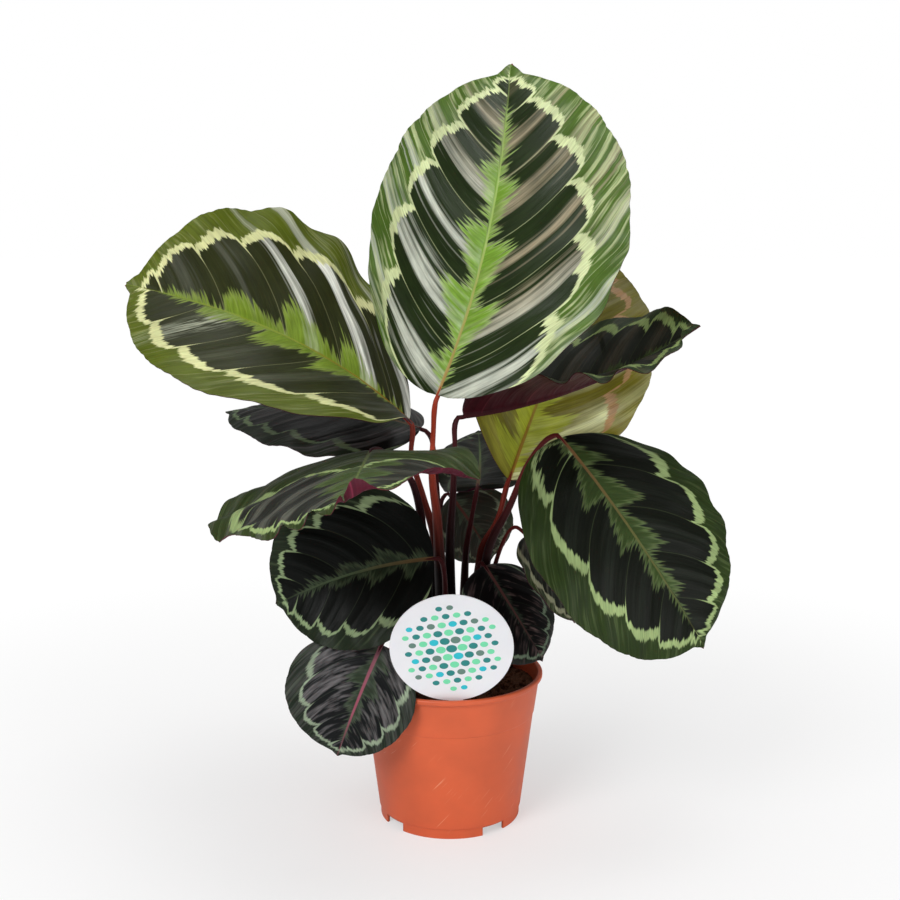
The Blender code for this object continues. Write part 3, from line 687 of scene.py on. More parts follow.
def feather_mask(tree, width, out, between, feather, finger):
    """Where the light feather along the midrib is, and how far out past its edge a point lies."""
    lean = between
    for operation, number in (("POWER", 2.2), ("MULTIPLY", math.pi), ("SINE", 0.0), ("POWER", 0.8)):
        lean = put(tree, "Math", [lean, number], operation=operation)
    lean = put(tree, "Math", [lean, 0.85, 0.22], operation="MULTIPLY_ADD")
    reach = put(tree, "Math", [feather, lean], operation="MULTIPLY")
    finger = put(tree, "Math", [finger, 0.5], operation="SUBTRACT")
    reach = put(tree, "Math", [finger, 0.19 * width, reach], operation="MULTIPLY_ADD")
    past = put(tree, "Math", [out, reach], operation="SUBTRACT")
    mask = put(tree, "MapRange", [past, -0.02 * width, 1.2, 1.0, 0.0])
    grown = put(tree, "MapRange", [feather, 0.5, 2.0, 0.0, 1.0])
    return put(tree, "Math", [mask, grown], operation="MULTIPLY"), past


def painted_highlight_streaks(tree, marks, on_left, lobe, near, fine, streak, patch):
    """Strength and colour of the painted highlight streaks between side veins, which stand in for light
    off the wax.
    """
    hill = (0.03, -0.04) if marks["streak"] < SHORT_STREAK else (0.2, marks["trough"])
    crest = put(tree, "MapRange", [near, *marks["crest"], *hill])
    patch = put(tree, "MapRange", [patch, *NOISE, -0.1, 0.1])
    sheen = put(tree, "Math", [streak, crest], operation="ADD")
    sheen = put(tree, "Math", [sheen, patch], operation="ADD")
    sheen = put(tree, "MapRange", [sheen, 0.52, 0.78, 0.0, 1.0])
    (left_tint, left_much), (right_tint, right_much) = marks["sheen"]
    much = put(tree, "MapRange", [on_left, 0.0, 1.0, right_much, left_much])
    first, last = (place * marks["lobes"] for place in marks["sheen_span"])
    fade = put(tree, "MapRange", [lobe, first, last, 1.0, 0.05])
    for share in (much, fade):
        sheen = put(tree, "Math", [sheen, share], operation="MULTIPLY")
    # One lobe of the left half smeared with a painted highlight
    if marks["highlight_smear"]:
        middle, strength = marks["highlight_smear"]
        highlight_smear = put(tree, "Math", [lobe, middle], operation="SUBTRACT")
        highlight_smear = put(tree, "Math", [highlight_smear], operation="ABSOLUTE")
        highlight_smear = put(tree, "MapRange", [highlight_smear, 0.08, 0.32, strength, 0.0])
        for share in (on_left, put(tree, "MapRange", [fine, 0.4, 0.62])):
            highlight_smear = put(tree, "Math", [highlight_smear, share], operation="MULTIPLY")
        sheen = put(tree, "Math", [sheen, highlight_smear], operation="MAXIMUM")
    tint = put(tree, "Mix", {0: on_left, 6: linear(right_tint), 7: linear(left_tint)}, **MIX)
    if marks["base_sheen"]:
        code, left_lobes, right_lobes = marks["base_sheen"]
        until = put(tree, "MapRange", [on_left, 0.0, 1.0, right_lobes, left_lobes])
        later = put(tree, "Math", [lobe, until], operation="SUBTRACT")
        tint = put(tree, "Mix", {0: later, 6: linear(code), 7: tint}, **MIX)
    return sheen, tint


def midrib_mask(tree, length, along, out):
    """Where the midrib is: 1.25 mm to each side at the foot, thin and faint at the tip."""
    edge = put(tree, "MapRange", [along, 0.0, length, 1.25, 0.3])
    edge = put(tree, "Math", [out, edge], operation="SUBTRACT")
    mask = put(tree, "MapRange", [edge, -0.25, 0.25, 0.9, 0.0])
    fade = put(tree, "MapRange", [along, 0.6 * length, 0.85 * length, 1.0, 0.35])
    return put(tree, "Math", [mask, fade], operation="MULTIPLY")


def leaf_skin(name, leaf, marks, seed, roughness):
    """Living leaf, waxed: pale ring, feather and rib are pigment, and the bright streaks are painted
    highlights standing in for the wax's sheen.
    """
    made, tree = start_material(
        name, Metallic=0.0, IOR=1.42, Specular_IOR_Level=marks["gloss"], Subsurface_Weight=0.04,
        Subsurface_Scale=0.002)
    width, length = leaf["width"], leaf["length"]
    spacing = length / marks["lobes"]
    pale = linear(marks["ring"])
    place = put(tree, "SeparateXYZ", [put(tree, "UVMap", uv_map="place")])
    along, side = place, place.node.outputs[1]
    lobe, out, between, near = lobe_sockets(tree)
    ring = put(tree, "Attribute", out=2, attribute_name="ring")
    feather = put(tree, "Attribute", out=2, attribute_name="feather")
    on_left = put(tree, "Math", [side, 0.0], operation="GREATER_THAN")

    # Strokes along the veins: width and length in mm, the seed's shift and the detail. The cells
    # that make them are 0.05 mm wide, and the finest strokes are drawn 1.3 mm wide so that they
    # show. The blotches are about 22 mm across.
    fine, broad, finger, streak, patch, fleck = (
        stroke_noise(tree, lobe, out, spacing, across, run, seed + shift, detail)
        for across, run, shift, detail in (
            (1.3, 11, 0, 3), (4.5, 30, 5, 2), (1.7, 26, 23, 3),
            (marks["streak_across"], marks["streak"], 11, 4), (30, 60, 17, 1),
            (*marks["fleck_size"], 31, 2)))
    flat = put(tree, "CombineXYZ", [along, side, seed])
    blotch = put(tree, "TexNoise", {"Vector": flat, "Scale": 0.045, "Detail": 2.0})

    jag = put(tree, "Math", [fine, 0.5], operation="SUBTRACT")
    jag = put(tree, "Math", [jag, 0.1 * width ** 0.8], operation="MULTIPLY")
    coarse = put(tree, "Math", [broad, 0.5], operation="SUBTRACT")
    jag = put(tree, "Math", [coarse, 0.035 * width, jag], operation="MULTIPLY_ADD")
    ring_mask, inside = ring_masks(tree, leaf, marks, along, ring, between, near, jag)
    glow_mask, past = feather_mask(tree, width, out, between, feather, finger)
    # Painted highlights: bright streaks that stand in for light off the wax
    sheen, tint = painted_highlight_streaks(tree, marks, on_left, lobe, near, fine, streak, patch)

    fringe = put(tree, "MapRange", [past, -0.05 * width, 0.0, 0.0, marks["fringe"]])
    glow = put(tree, "Mix", {0: fringe, 6: linear(marks["glow"]), 7: pale}, **MIX)
    colour = put(tree, "Mix", {0: glow_mask, 6: linear(marks["dark"]), 7: glow}, **MIX)
    # The painted highlights reach into the margin too
    caught = put(tree, "MapRange", [sheen, 0.0, 1.0, 0.0, marks["margin_sheen"]])
    margin = put(tree, "Mix", {0: caught, 6: linear(marks["margin"]), 7: tint}, **MIX)
    first = marks["fleck_from"]
    fleck = put(tree, "MapRange", [fleck, first, first + 0.16, 0.0, marks["flecks"]])
    margin = put(tree, "Mix", {0: fleck, 6: margin, 7: pale}, **MIX)
    # The painted highlights, fainter over the feather, are laid over the colour inside the ring
    dull = put(tree, "MapRange", [glow_mask, 0.0, 1.0, 1.0, 0.3])
    sheen = put(tree, "Math", [sheen, dull], operation="MULTIPLY")
    colour = put(tree, "Mix", {0: sheen, 6: colour, 7: tint}, **MIX)
    colour = put(tree, "Mix", {0: inside, 6: margin, 7: colour}, **MIX)
    colour = put(tree, "Mix", {0: ring_mask, 6: colour, 7: pale}, **MIX)

    shade = put(tree, "MapRange", [fine, *NOISE, 0.8, 1.22])
    mottle = put(tree, "MapRange", [blotch, *NOISE, 0.85, 1.15])
    tone = put(tree, "MapRange", [along, 0.0, length, *marks["tone"]])
    for share in (mottle, tone):
        shade = put(tree, "Math", [shade, share], operation="MULTIPLY")
    colour = shaded(tree, colour, shade)
    # Pale lines on the side veins: painted highlights along the veins
    line = put(tree, "MapRange", [near, 0.5 - 0.5 / spacing, 0.5 - 0.15 / spacing, 0.0, marks["lines"]])
    colour = put(tree, "Mix", {0: line, 6: colour, 7: pale}, **MIX)
    foot, tip = (linear(code) for code in marks["rib"])
    turned = put(tree, "MapRange", [along, 0.0, 0.5 * length])
    rib = put(tree, "Mix", {0: turned, 6: foot, 7: tip}, **MIX)
    colour = put(tree, "Mix", {0: midrib_mask(tree, length, along, out), 6: colour, 7: rib}, **MIX)
    rough = put(tree, "MapRange", [broad, *NOISE, roughness - 0.06, roughness + 0.1])
    return finish_material(made, colour, rough, fine, strength=0.6)


def leaf_back(name, leaf, marks, seed):
    """Living leaf from below: purple pigment under a thin matt skin, with raised paler veins."""
    made, tree = start_material(
        name, Metallic=0.0, IOR=1.4, Specular_IOR_Level=0.2, Subsurface_Weight=0.03,
        Subsurface_Scale=0.002)
    spacing = leaf["length"] / marks["lobes"]
    lobe, out, _, near = lobe_sockets(tree)
    fine = stroke_noise(tree, lobe, out, spacing, 1.6, 20, seed + 2, 3)
    broad = stroke_noise(tree, lobe, out, spacing, 6, 40, seed + 8)
    base = linear(marks["under"])
    share = put(tree, "MapRange", [broad, 0.35, 0.65])
    colour = put(tree, "Mix", {0: share, 6: toned(base, 0.6), 7: base}, **MIX)
    line = put(tree, "MapRange", [near, 0.5 - 0.8 / spacing, 0.5, 0.0, 0.5])
    colour = put(tree, "Mix", {0: line, 6: colour, 7: toned(base, 2.4, 0.01)}, **MIX)
    rib_mask = put(tree, "MapRange", [out, 1.0, 1.8, 0.8, 0.0])
    colour = put(tree, "Mix", {0: rib_mask, 6: colour, 7: linear(marks["stalk"][1])}, **MIX)
    rough = put(tree, "MapRange", [fine, *NOISE, 0.42, 0.62])
    return finish_material(made, colour, rough, fine)


def stalk_route(leaf, spacing=2.5):
    """Points along a leaf stalk, from its foot in the compost to under the blade's midrib."""
    run = STALK_OVERLAP / leaf["length"]
    middle, ahead, face = leaf_axes(leaf, np.array([0.0, run]))
    top = np.array([*leaf["foot"], SOIL_TOP + STALK_START])
    lean = unit(np.array(leaf["via"][0], float) - top)
    lean = unit(lean + np.array([0, 0, 0.8]))
    foot = top - lean * (STALK_START + STALK_DEPTH) / lean[2]
    drop = BLADE_THICKNESS + STALK_DROP
    end = middle[0] - face[0] * drop - ahead[0] * 3.0
    knots = [top] + [np.array(v, float) for v in leaf["via"]] + [end]
    ways = [lean] + [unit(after - before) for before, after in zip(knots[:-2], knots[2:])]
    ways.append(unit(ahead[0] + 1.3 * unit(knots[-1] - knots[-2])))
    route = [foot]
    for p, q, u, v in zip(knots[:-1], knots[1:], ways[:-1], ways[1:]):
        span = np.linalg.norm(q - p)
        count = max(4, round(span / spacing))
        for k in range(count):
            t = k / count
            h1, h2 = 2 * t ** 3 - 3 * t ** 2 + 1, t ** 3 - 2 * t ** 2 + t
            h3, h4 = -2 * t ** 3 + 3 * t ** 2, t ** 3 - t ** 2
            route.append(h1 * p + h2 * span * u + h3 * q + h4 * span * v)
    route += [knots[-1], middle[0] - face[0] * drop, middle[1] - face[1] * drop]
    return np.array(route)


def length_along(route):
    """Distance from a route's start to each of its points."""
    return np.concatenate([[0], np.cumsum(np.linalg.norm(np.diff(route, axis=0), axis=1))])


def tube(route, radii, sides):
    """Rings of points round a route, with a cap point at each end, and its faces."""
    ways = unit(np.gradient(route, axis=0))
    across = np.cross(ways[0], [0.3, 1.0, 0.1])
    angles = 2 * math.pi * np.arange(sides) / sides
    rings = []
    for place, way, radius in zip(route, ways, radii):
        across = unit(across - way * np.dot(across, way))
        ring = np.cos(angles)[:, None] * across + np.sin(angles)[:, None] * np.cross(way, across)
        rings.append(place + ring * radius)
    points = np.concatenate(rings + [route[:1], route[-1:]])
    count = len(route)
    last = (count - 1) * sides
    faces = []
    for i in range(0, last, sides):
        for k in range(sides):
            n = (k + 1) % sides
            faces.append((i + k, i + n, i + sides + n, i + sides + k))
    for k in range(sides):
        n = (k + 1) % sides
        faces += [(n, k, count * sides), (last + k, last + n, count * sides + 1)]
    return points, faces


def stalk_skin(name, marks, length, seed):
    """Fleshy leaf stalk, fine-ridged and waxed: maroon below, darkened towards the foot with painted
    shade where the stalks crowd together, redder in the joint at its top.
    """
    made, tree = start_material(
        name, Metallic=0.0, IOR=1.42, Specular_IOR_Level=0.18, Subsurface_Weight=0.05,
        Subsurface_Scale=0.002)
    place = put(tree, "SeparateXYZ", [put(tree, "UVMap", uv_map="place")])
    # Ridges 0.7 mm apart and 26 mm long
    x = put(tree, "Math", [place, 1 / 26], operation="MULTIPLY")
    y = put(tree, "Math", [place.node.outputs[1], 1 / 0.7], operation="MULTIPLY")
    where = put(tree, "CombineXYZ", [x, y, seed])
    ridges = put(tree, "TexNoise", {"Vector": where, "Scale": 1.0, "Detail": 3.0})
    low, high = (linear(code) for code in marks["stalk"])
    # Darker towards the foot: the stalk's maroon with painted shade where the stalks crowd together
    tone = put(tree, "MapRange", [place, length * 0.42, length * 0.78])
    colour = put(tree, "Mix", {0: tone, 6: low, 7: high}, **MIX)
    colour = shaded(tree, colour, put(tree, "MapRange", [ridges, *NOISE, 0.6, 1.45]))
    rough = put(tree, "MapRange", [ridges, *NOISE, 0.34, 0.5])
    return finish_material(made, colour, rough, ridges)


def stalk_mesh(name, leaf, marks, route, look):
    """A tapering stalk with a sheathing foot and a swollen joint below the blade."""
    along = length_along(route)
    share = along / along[-1]
    wide, narrow = leaf["thick"][0], STALK_TOP * leaf["thick"][1]
    radii = wide + (narrow - wide) * share
    sheath = np.clip(1 - share / SHEATH_SHARE, 0, 1)
    radii = radii * (1 + marks["sheath"] * sheath ** 0.7)
    top = along[-1] - STALK_OVERLAP
    swell = np.exp(-((along - (top - JOINT_AT)) / JOINT_LENGTH) ** 2)
    radii = radii + JOINT_SWELL * narrow * swell
    radii = radii * (1 - 0.55 * np.clip((along - top) / STALK_OVERLAP, 0, 1))
    points, faces = tube(route, radii, STALK_SIDES)
    mesh = mesh_of(name, points, faces, [look], sharp=60)
    around = 2 * math.pi * np.abs(np.arange(STALK_SIDES) / STALK_SIDES - 0.5) * 2 * wide
    pairs = np.stack([np.repeat(along, STALK_SIDES), np.tile(around, len(along))], -1)
    add_uv(mesh, "place", np.concatenate([pairs, [(0, 0), (along[-1], 0)]]))
    return mesh


def lathe(profile, sides):
    """Points and faces of a solid of revolution, from a list of (radius, height) from axis to axis."""
    points, rings, faces = [], [], []
    for radius, height in profile:
        steps = sides if radius else 1
        rings.append(list(range(len(points), len(points) + steps)))
        for k in range(steps):
            angle = 2 * math.pi * k / sides
            points.append((radius * math.cos(angle), radius * math.sin(angle), height))
    for low, high in zip(rings[:-1], rings[1:]):
        for k in range(sides):
            n = (k + 1) % sides
            if len(low) == 1:
                faces.append((low[0], high[n], high[k]))
            elif len(high) == 1:
                faces.append((low[k], low[n], high[0]))
            else:
                faces.append((low[k], low[n], high[n], high[k]))
    return points, faces


def inner_radius(height):
    """Radius of the inside of the pot wall at a height."""
    along = (height - FOOT_HEIGHT) / (POT_HEIGHT - RIM_LIP - FOOT_HEIGHT)
    return BASE_RADIUS + (NECK_RADIUS - BASE_RADIUS) * along - POT_WALL


def arc(centre, radius, start, stop, count):
    """Points of a profile's round stretch, angles in degrees from outwards, up positive."""
    angles = np.radians(np.linspace(start, stop, count))
    return [(centre[0] + radius * math.cos(a), centre[1] + radius * math.sin(a)) for a in angles]


def pot_mesh(look):
    """One moulded cup: rolled lip over a groove, faint stacking step, skirt of four feet."""
    neck = POT_HEIGHT - RIM_LIP
    step = inner_radius(STEP_HEIGHT) + POT_WALL
    skirt = FOOT_RADIUS - FOOT_WALL
    profile = [
        (0, FOOT_HEIGHT - 1.0), (skirt, FOOT_HEIGHT - 1.0), (skirt, 0.3), (skirt + 0.3, 0),
        *arc((FOOT_RADIUS - 0.4, 0.4), 0.4, -90, 0, 4),
        (FOOT_RADIUS, FOOT_HEIGHT - 0.2), (FOOT_RADIUS + 0.1, FOOT_HEIGHT),
        *arc((BASE_RADIUS - 0.4, FOOT_HEIGHT + 0.5), 0.4, -80, 0, 4),
        (step - 0.35, STEP_HEIGHT - 0.5), (step - 0.3, STEP_HEIGHT - 0.2),
        (step + 0.12, STEP_HEIGHT + 0.2), (step + 0.2, STEP_HEIGHT + 0.5),
        (NECK_RADIUS, neck - 2.6), (NECK_RADIUS + 0.25, neck - 1.2), (NECK_RADIUS + 0.8, neck - 0.3),
        *arc((RIM_RADIUS - 0.9, neck + 0.9), 0.9, -80, 0, 5),
        *arc((RIM_RADIUS - 1.2, POT_HEIGHT - 1.2), 1.2, 0, 90, 7),
        *arc((NECK_RADIUS + 0.2, POT_HEIGHT - 0.9), 0.9, 95, 180, 5),
        (inner_radius(neck - 3), neck - 3), (inner_radius(FLOOR_TOP + 2), FLOOR_TOP + 2),
        (inner_radius(FLOOR_TOP) - 1.8, FLOOR_TOP), (0, FLOOR_TOP),
    ]
    points, faces = lathe(profile, POT_SIDES)
    return mesh_of("pot_shell", points, faces, [look], sharp=38)


def box_points(size, turned_by, centre):
    """The corners and faces of a box turned about the upright, in millimetres."""
    c, s = math.cos(turned_by), math.sin(turned_by)
    corners = []
    for sx in (-0.5, 0.5):
        for sy in (-0.5, 0.5):
            x, y = sx * size[0], sy * size[1]
            place = (centre[0] + x * c - y * s, centre[1] + x * s + y * c)
            corners += [(*place, centre[2] + sz * size[2]) for sz in (-0.5, 0.5)]
    faces = [(0, 1, 3, 2), (4, 6, 7, 5), (0, 4, 5, 1), (2, 3, 7, 6), (0, 2, 6, 4), (1, 5, 7, 3)]
    return corners, faces


def cut_away(piece, tools):
    """Takes tools, each a list of points and faces, out of a piece for good."""
    for k, (points, faces) in enumerate(tools):
        mesh = mesh_of(f"tool_{k}", points, faces, [])
        work = bmesh.new()
        work.from_mesh(mesh)
        bmesh.ops.recalc_face_normals(work, faces=work.faces)
        work.to_mesh(mesh)
        work.free()
        tool = add_object(f"tool_{k}", mesh)
        step = piece.modifiers.new("cut", "BOOLEAN")
        step.operation = "DIFFERENCE"
        step.solver = "EXACT"
        step.object = tool
        seen = bpy.context.evaluated_depsgraph_get()
        cut = bpy.data.meshes.new_from_object(piece.evaluated_get(seen))
        piece.modifiers.clear()
        piece.data = cut
        bpy.data.objects.remove(tool)


def moulded_plastic(colour, scuffs):
    """Injection-moulded polypropylene, satin: dyed through, faintly mottled, with pale rub marks."""
    made, tree = start_material(
        "moulded_polypropylene", Metallic=0.0, IOR=1.49, Specular_IOR_Level=0.45,
        Subsurface_Weight=0.06, Subsurface_Scale=0.003)
    # The mottle is about 36 mm across. The mould's own grain is 0.1 mm wide and is drawn 1.1 mm
    # wide so that it shows.
    where = put(tree, "TexCoord", out=3)
    mottle = put(tree, "TexNoise", {"Vector": where, "Scale": 28.0, "Detail": 4.0})
    grain = put(tree, "TexNoise", {"Vector": where, "Scale": 900.0, "Detail": 2.0})
    share = put(tree, "MapRange", [mottle, 0.35, 0.65])
    tone = put(tree, "Mix", {0: share, 6: toned(colour, 0.86), 7: toned(colour, 1.0)}, **MIX)
    # Rub marks are 1 mm wide and 12 to 30 mm long, in patches about 30 mm across
    leant = put(
        tree, "Mapping", vector_type="TEXTURE", sockets={
            "Vector": where, "Rotation": (0.0, math.radians(40), 0.0), "Scale": (0.0009, 0.012, 0.03)})
    rub = put(tree, "TexNoise", {"Vector": leant, "Scale": 1.0, "Detail": 1.0})
    rub = put(tree, "MapRange", [rub, 0.68, 0.74, 0.0, 1.0])
    patch = put(tree, "TexNoise", {"Vector": where, "Scale": 34.0, "Detail": 1.0})
    patch = put(tree, "MapRange", [patch, 0.55, 0.66, 0.0, scuffs])
    rub = put(tree, "Math", [rub, patch], operation="MULTIPLY")
    tone = put(tree, "Mix", {0: rub, 6: tone, 7: linear("#efb08c")}, **MIX)
    rough = put(tree, "MapRange", [mottle, *NOISE, 0.4, 0.52])
    return finish_material(made, tone, rough, grain, strength=0.15, depth=0.2)


def peat(colour):
    """Moist peat compost, crumbled: black-brown crumbs with paler fibres, no gloss."""
    made, tree = start_material(
        "moist_peat_compost", Metallic=0.0, Roughness=0.95, Specular_IOR_Level=0.2)
    # Crumbs about 2.4 mm across, and fibrous patches about 11 mm across
    where = put(tree, "TexCoord", out=3)
    crumbs = put(tree, "TexNoise", {"Vector": where, "Scale": 420.0, "Detail": 6.0, "Roughness": 0.7})
    patches = put(tree, "TexNoise", {"Vector": where, "Scale": 90.0, "Detail": 3.0})
    share = put(tree, "MapRange", [crumbs, 0.4, 0.65])
    tone = put(tree, "Mix", {0: share, 6: toned(colour, 0.45), 7: toned(colour, 1.0)}, **MIX)
    fleck = put(tree, "MapRange", [patches, 0.62, 0.7, 0.0, 0.5])
    tone = put(tree, "Mix", {0: fleck, 6: tone, 7: linear("#5b3a26")}, **MIX)
    return finish_material(made, tone, relief=crumbs, strength=1.0, depth=1.2)


def compost_mesh(look, crumb_count):
    """The compost as a plug with a lumpy top and loose crumbs on it."""
    edge = inner_radius(SOIL_TOP) - 0.3
    profile = [
        (0, FLOOR_TOP + 0.3), (inner_radius(FLOOR_TOP) - 3.2, FLOOR_TOP + 0.3),
        (inner_radius(FLOOR_TOP + 4) - 0.45, FLOOR_TOP + 4), (edge, SOIL_TOP - 3.5),
        (edge, SOIL_TOP - 1.2),
    ]
    profile += [(edge * (1 - k / SOIL_RINGS), SOIL_TOP) for k in range(1, SOIL_RINGS)]
    points, faces = lathe(profile + [(0, SOIL_TOP)], SOIL_SIDES)
    lumpy = []
    for x, y, z in points:
        if z > SOIL_TOP - 1.5:
            here = Vector((x, y, 0))
            z += sum(noise.noise(here * fine) * high for fine, high in LUMPS)
        lumpy.append((x, y, z))
    source = random.Random(7)
    count = len(lumpy)
    for _ in range(crumb_count):
        turned_by, out = source.random() * 2 * math.pi, math.sqrt(source.random()) * (edge - 3)
        size = source.uniform(*CRUMB_SIZES)
        height = SOIL_TOP + size * 0.4 + 0.5
        centre = Vector((out * math.cos(turned_by), out * math.sin(turned_by), height))
        ball = bmesh.new()
        bmesh.ops.create_icosphere(ball, subdivisions=2, radius=size)
        for point in ball.verts:
            point.co *= 1 + 0.5 * noise.noise(point.co * (1.2 / size) + centre)
            lumpy.append(tuple(point.co + centre))
        ball.verts.index_update()
        faces += [tuple(v.index + count for v in f.verts) for f in ball.faces]
        count += len(ball.verts)
        ball.free()
    return mesh_of("compost_plug", lumpy, faces, [look], sharp=180)


def label_matrix():
    """Where the label stands, from its own flat drawing."""
    lean = Euler((math.radians(90 + LABEL_LEAN), 0, 0)).to_matrix().to_4x4()
    rolled = Matrix.Rotation(math.radians(LABEL_ROLL), 4, "Z")
    centre = Vector(LABEL_CENTRE) * MM + POT_AXIS
    return Matrix.Translation(centre) @ lean @ rolled


def flat_mesh(name, outlines, low, high, chamfer, looks, which):
    """Slabs from closed outlines, in millimetres, with chamfered edges. which is each one's look."""
    points, faces, kinds = [], [], []
    for outline, kind in zip(outlines, which):
        start, n = len(points), len(outline)
        shape = np.array(outline, float)
        inset = shape - unit(shape - shape.mean(0)) * chamfer
        for height, line in (
                (low, inset), (low + chamfer, shape), (high - chamfer, shape), (high, inset)):
            points += [(x, y, height) for x, y in line]
        faces += [range(start + n - 1, start - 1, -1), range(start + 3 * n, start + 4 * n)]
        for a in (start, start + n, start + 2 * n):
            for k in range(n):
                j = (k + 1) % n
                faces.append((a + k, a + j, a + n + j, a + n + k))
        kinds += [kind] * (2 + 3 * n)
    mesh = mesh_of(name, points, faces, looks, sharp=30, kinds=kinds, origin=(0, 0, 0))
    mesh.transform(label_matrix())
    return mesh


def label_outline(count=160):
    """The disc and its stake as one closed line, anticlockwise."""
    half = STAKE_WIDTH / 2
    start = math.asin(half / LABEL_RADIUS)
    shoulder = STAKE_POINT - STAKE_LENGTH
    outline = [(-half, shoulder), (0, -STAKE_LENGTH), (half, shoulder)]
    for k in range(count + 1):
        angle = -math.pi / 2 + start + (2 * math.pi - 2 * start) * k / count
        outline.append((LABEL_RADIUS * math.cos(angle), LABEL_RADIUS * math.sin(angle)))
    return outline


def print_dots(radius, spacing, dot):
    """Outlines of the printed dots, in staggered rows inside a circle, with an ink's number each."""
    outlines, which = [], []
    row_height = spacing * math.sqrt(3) / 2
    tilt = math.radians(DOT_TILT)
    rows = int(radius / row_height) + 1
    for i in range(-rows, rows + 1):
        for j in range(-rows - 1, rows + 2):
            x, y = (j + 0.5 * (i % 2)) * spacing, i * row_height
            far = math.hypot(x, y)
            if far > radius:
                continue
            size = dot * (1.15 - 0.45 * far / radius)
            cx, cy = x * math.cos(tilt) - y * math.sin(tilt), x * math.sin(tilt) + y * math.cos(tilt)
            outlines.append([
                (cx + size * DOT_STRETCH * math.cos(a), cy + size * math.sin(a))
                for a in np.linspace(0, 2 * math.pi, DOT_SIDES + 1)[:-1]])
            which.append((i * 3 + j * 2 + i * i * j) % len(INKS))
    return outlines, which


def printed_card():
    """Printed polypropylene sheet: white, smooth, with a slight satin gloss and faint haze."""
    made, tree = start_material(
        "printed_polypropylene_sheet", Metallic=0.0, IOR=1.49, Specular_IOR_Level=0.4,
        Subsurface_Weight=0.05, Subsurface_Scale=0.001)
    # Haze in patches about 17 mm across
    where = put(tree, "TexCoord", out=3)
    haze = put(tree, "TexNoise", {"Vector": where, "Scale": 60.0, "Detail": 3.0})
    tone = put(tree, "Mix", {0: haze, 6: linear("#e4e5ea"), 7: linear("#eff0f3")}, **MIX)
    return finish_material(made, tone, put(tree, "MapRange", [haze, *NOISE, 0.36, 0.48]))


def printing_ink(name, code):
    """Offset ink on the sheet: a thin, even, slightly glossy film."""
    made, tree = start_material(name, Metallic=0.0, Specular_IOR_Level=0.4)
    # The press's screen is 0.15 mm wide, and its grain is drawn 0.7 mm wide so that it shows
    where = put(tree, "TexCoord", out=3)
    grain = put(tree, "TexNoise", {"Vector": where, "Scale": 1500.0, "Detail": 2.0})
    colour = linear(code)
    tone = put(tree, "Mix", {0: grain, 6: colour, 7: toned(colour, 1.15)}, **MIX)
    return finish_material(made, tone, put(tree, "MapRange", {0: grain, 3: 0.35, 4: 0.5}))


class PotSettings(bpy.types.PropertyGroup):
    """Colours, rub marks and crumbs of the pot and its filling."""
    colour: FloatVectorProperty(
        name="Plastic", description="Colour of the pot's plastic", subtype="COLOR",
        min=0, max=1, default=linear("#dc6238")[:3])
    scuffs: FloatProperty(
        name="Scuffs", description="Strength of the pale rub marks", subtype="FACTOR",
        min=0, max=1, default=0.5)
    compost: FloatVectorProperty(
        name="Compost", description="Colour of the compost", subtype="COLOR",
        min=0, max=1, default=linear("#7a5036")[:3])
    crumbs: IntProperty(
        name="Crumbs", description="Number of loose crumbs on the compost", min=0, default=420)


class LeafSettings(bpy.types.PropertyGroup):
    """Surface of the leaves."""
    veins: FloatProperty(
        name="Vein relief", description="Height of the puffs between veins, as a share of the width",
        min=0, max=0.02, default=0.0085, precision=4)
    roughness: FloatProperty(
        name="Roughness", description="Roughness of the waxed upper faces", subtype="FACTOR",
        min=0, max=1, default=0.38)


class LabelSettings(bpy.types.PropertyGroup):
    """Printed design of the label."""
    design: FloatProperty(
        name="Design radius", description="Radius of the printed design", subtype="DISTANCE",
        min=0.005, max=0.035, default=0.0295)
    spacing: FloatProperty(
        name="Dot spacing", description="Distance between printed dots", subtype="DISTANCE",
        min=0.003, max=0.02, default=0.0066)
    dot: FloatProperty(
        name="Dot radius", description="Radius of a dot at the middle of the design",
        subtype="DISTANCE", min=0.0005, max=0.005, default=0.0023)


class StageSettings(bpy.types.PropertyGroup):
    """Camera and light."""
    distance: FloatProperty(
        name="Camera distance", description="Level distance from the pot's axis to the camera",
        subtype="DISTANCE", min=0.2, default=0.90)
    height: FloatProperty(
        name="Camera height", description="Height of the camera over the floor",
        subtype="DISTANCE", min=0.0, default=0.416)
    pitch: FloatProperty(
        name="Camera pitch", description="How far the camera looks down", subtype="ANGLE",
        default=math.radians(10.95))
    lens: FloatProperty(
        name="Lens", description="Focal length in millimetres on a 36 mm sensor", min=10,
        default=58.08)
    light: FloatProperty(
        name="Light", description="Strength of the studio lights", min=0, default=1.0)


class CALATHEA_OT_pot(bpy.types.Operator):
    """Adds the moulded pot with its feet, drain slots and rolled lip"""
    bl_idname = "calathea.pot"
    bl_label = "Add pot"

    def execute(self, context):
        settings = context.scene.calathea_pot
        look = moulded_plastic(tuple(settings.colour), settings.scuffs)
        piece = add_piece("pot_shell", pot_mesh(look), "pot_plastic", "pot")
        tools = []
        for k in range(FEET):
            angle = math.radians(FOOT_TURN - 90 + 360 / FEET * (k + 0.5))
            way = Vector((math.cos(angle), math.sin(angle)))
            tools.append(box_points((12, NOTCH_WIDTH, 12), angle, (*(way * NOTCH_AT), -0.5)))
            tools.append(box_points((7, DRAIN_WIDTH, 12), angle, (*(way * DRAIN_AT), FOOT_HEIGHT)))
        tools.append(lathe([(0, 0), (HOLE_RADIUS, 0), (HOLE_RADIUS, 14), (0, 14)], 32))
        cut_away(piece, tools)
        if len(piece.data.polygons) < 1000:
            raise RuntimeError("the pot's cuts failed")
        return {"FINISHED"}


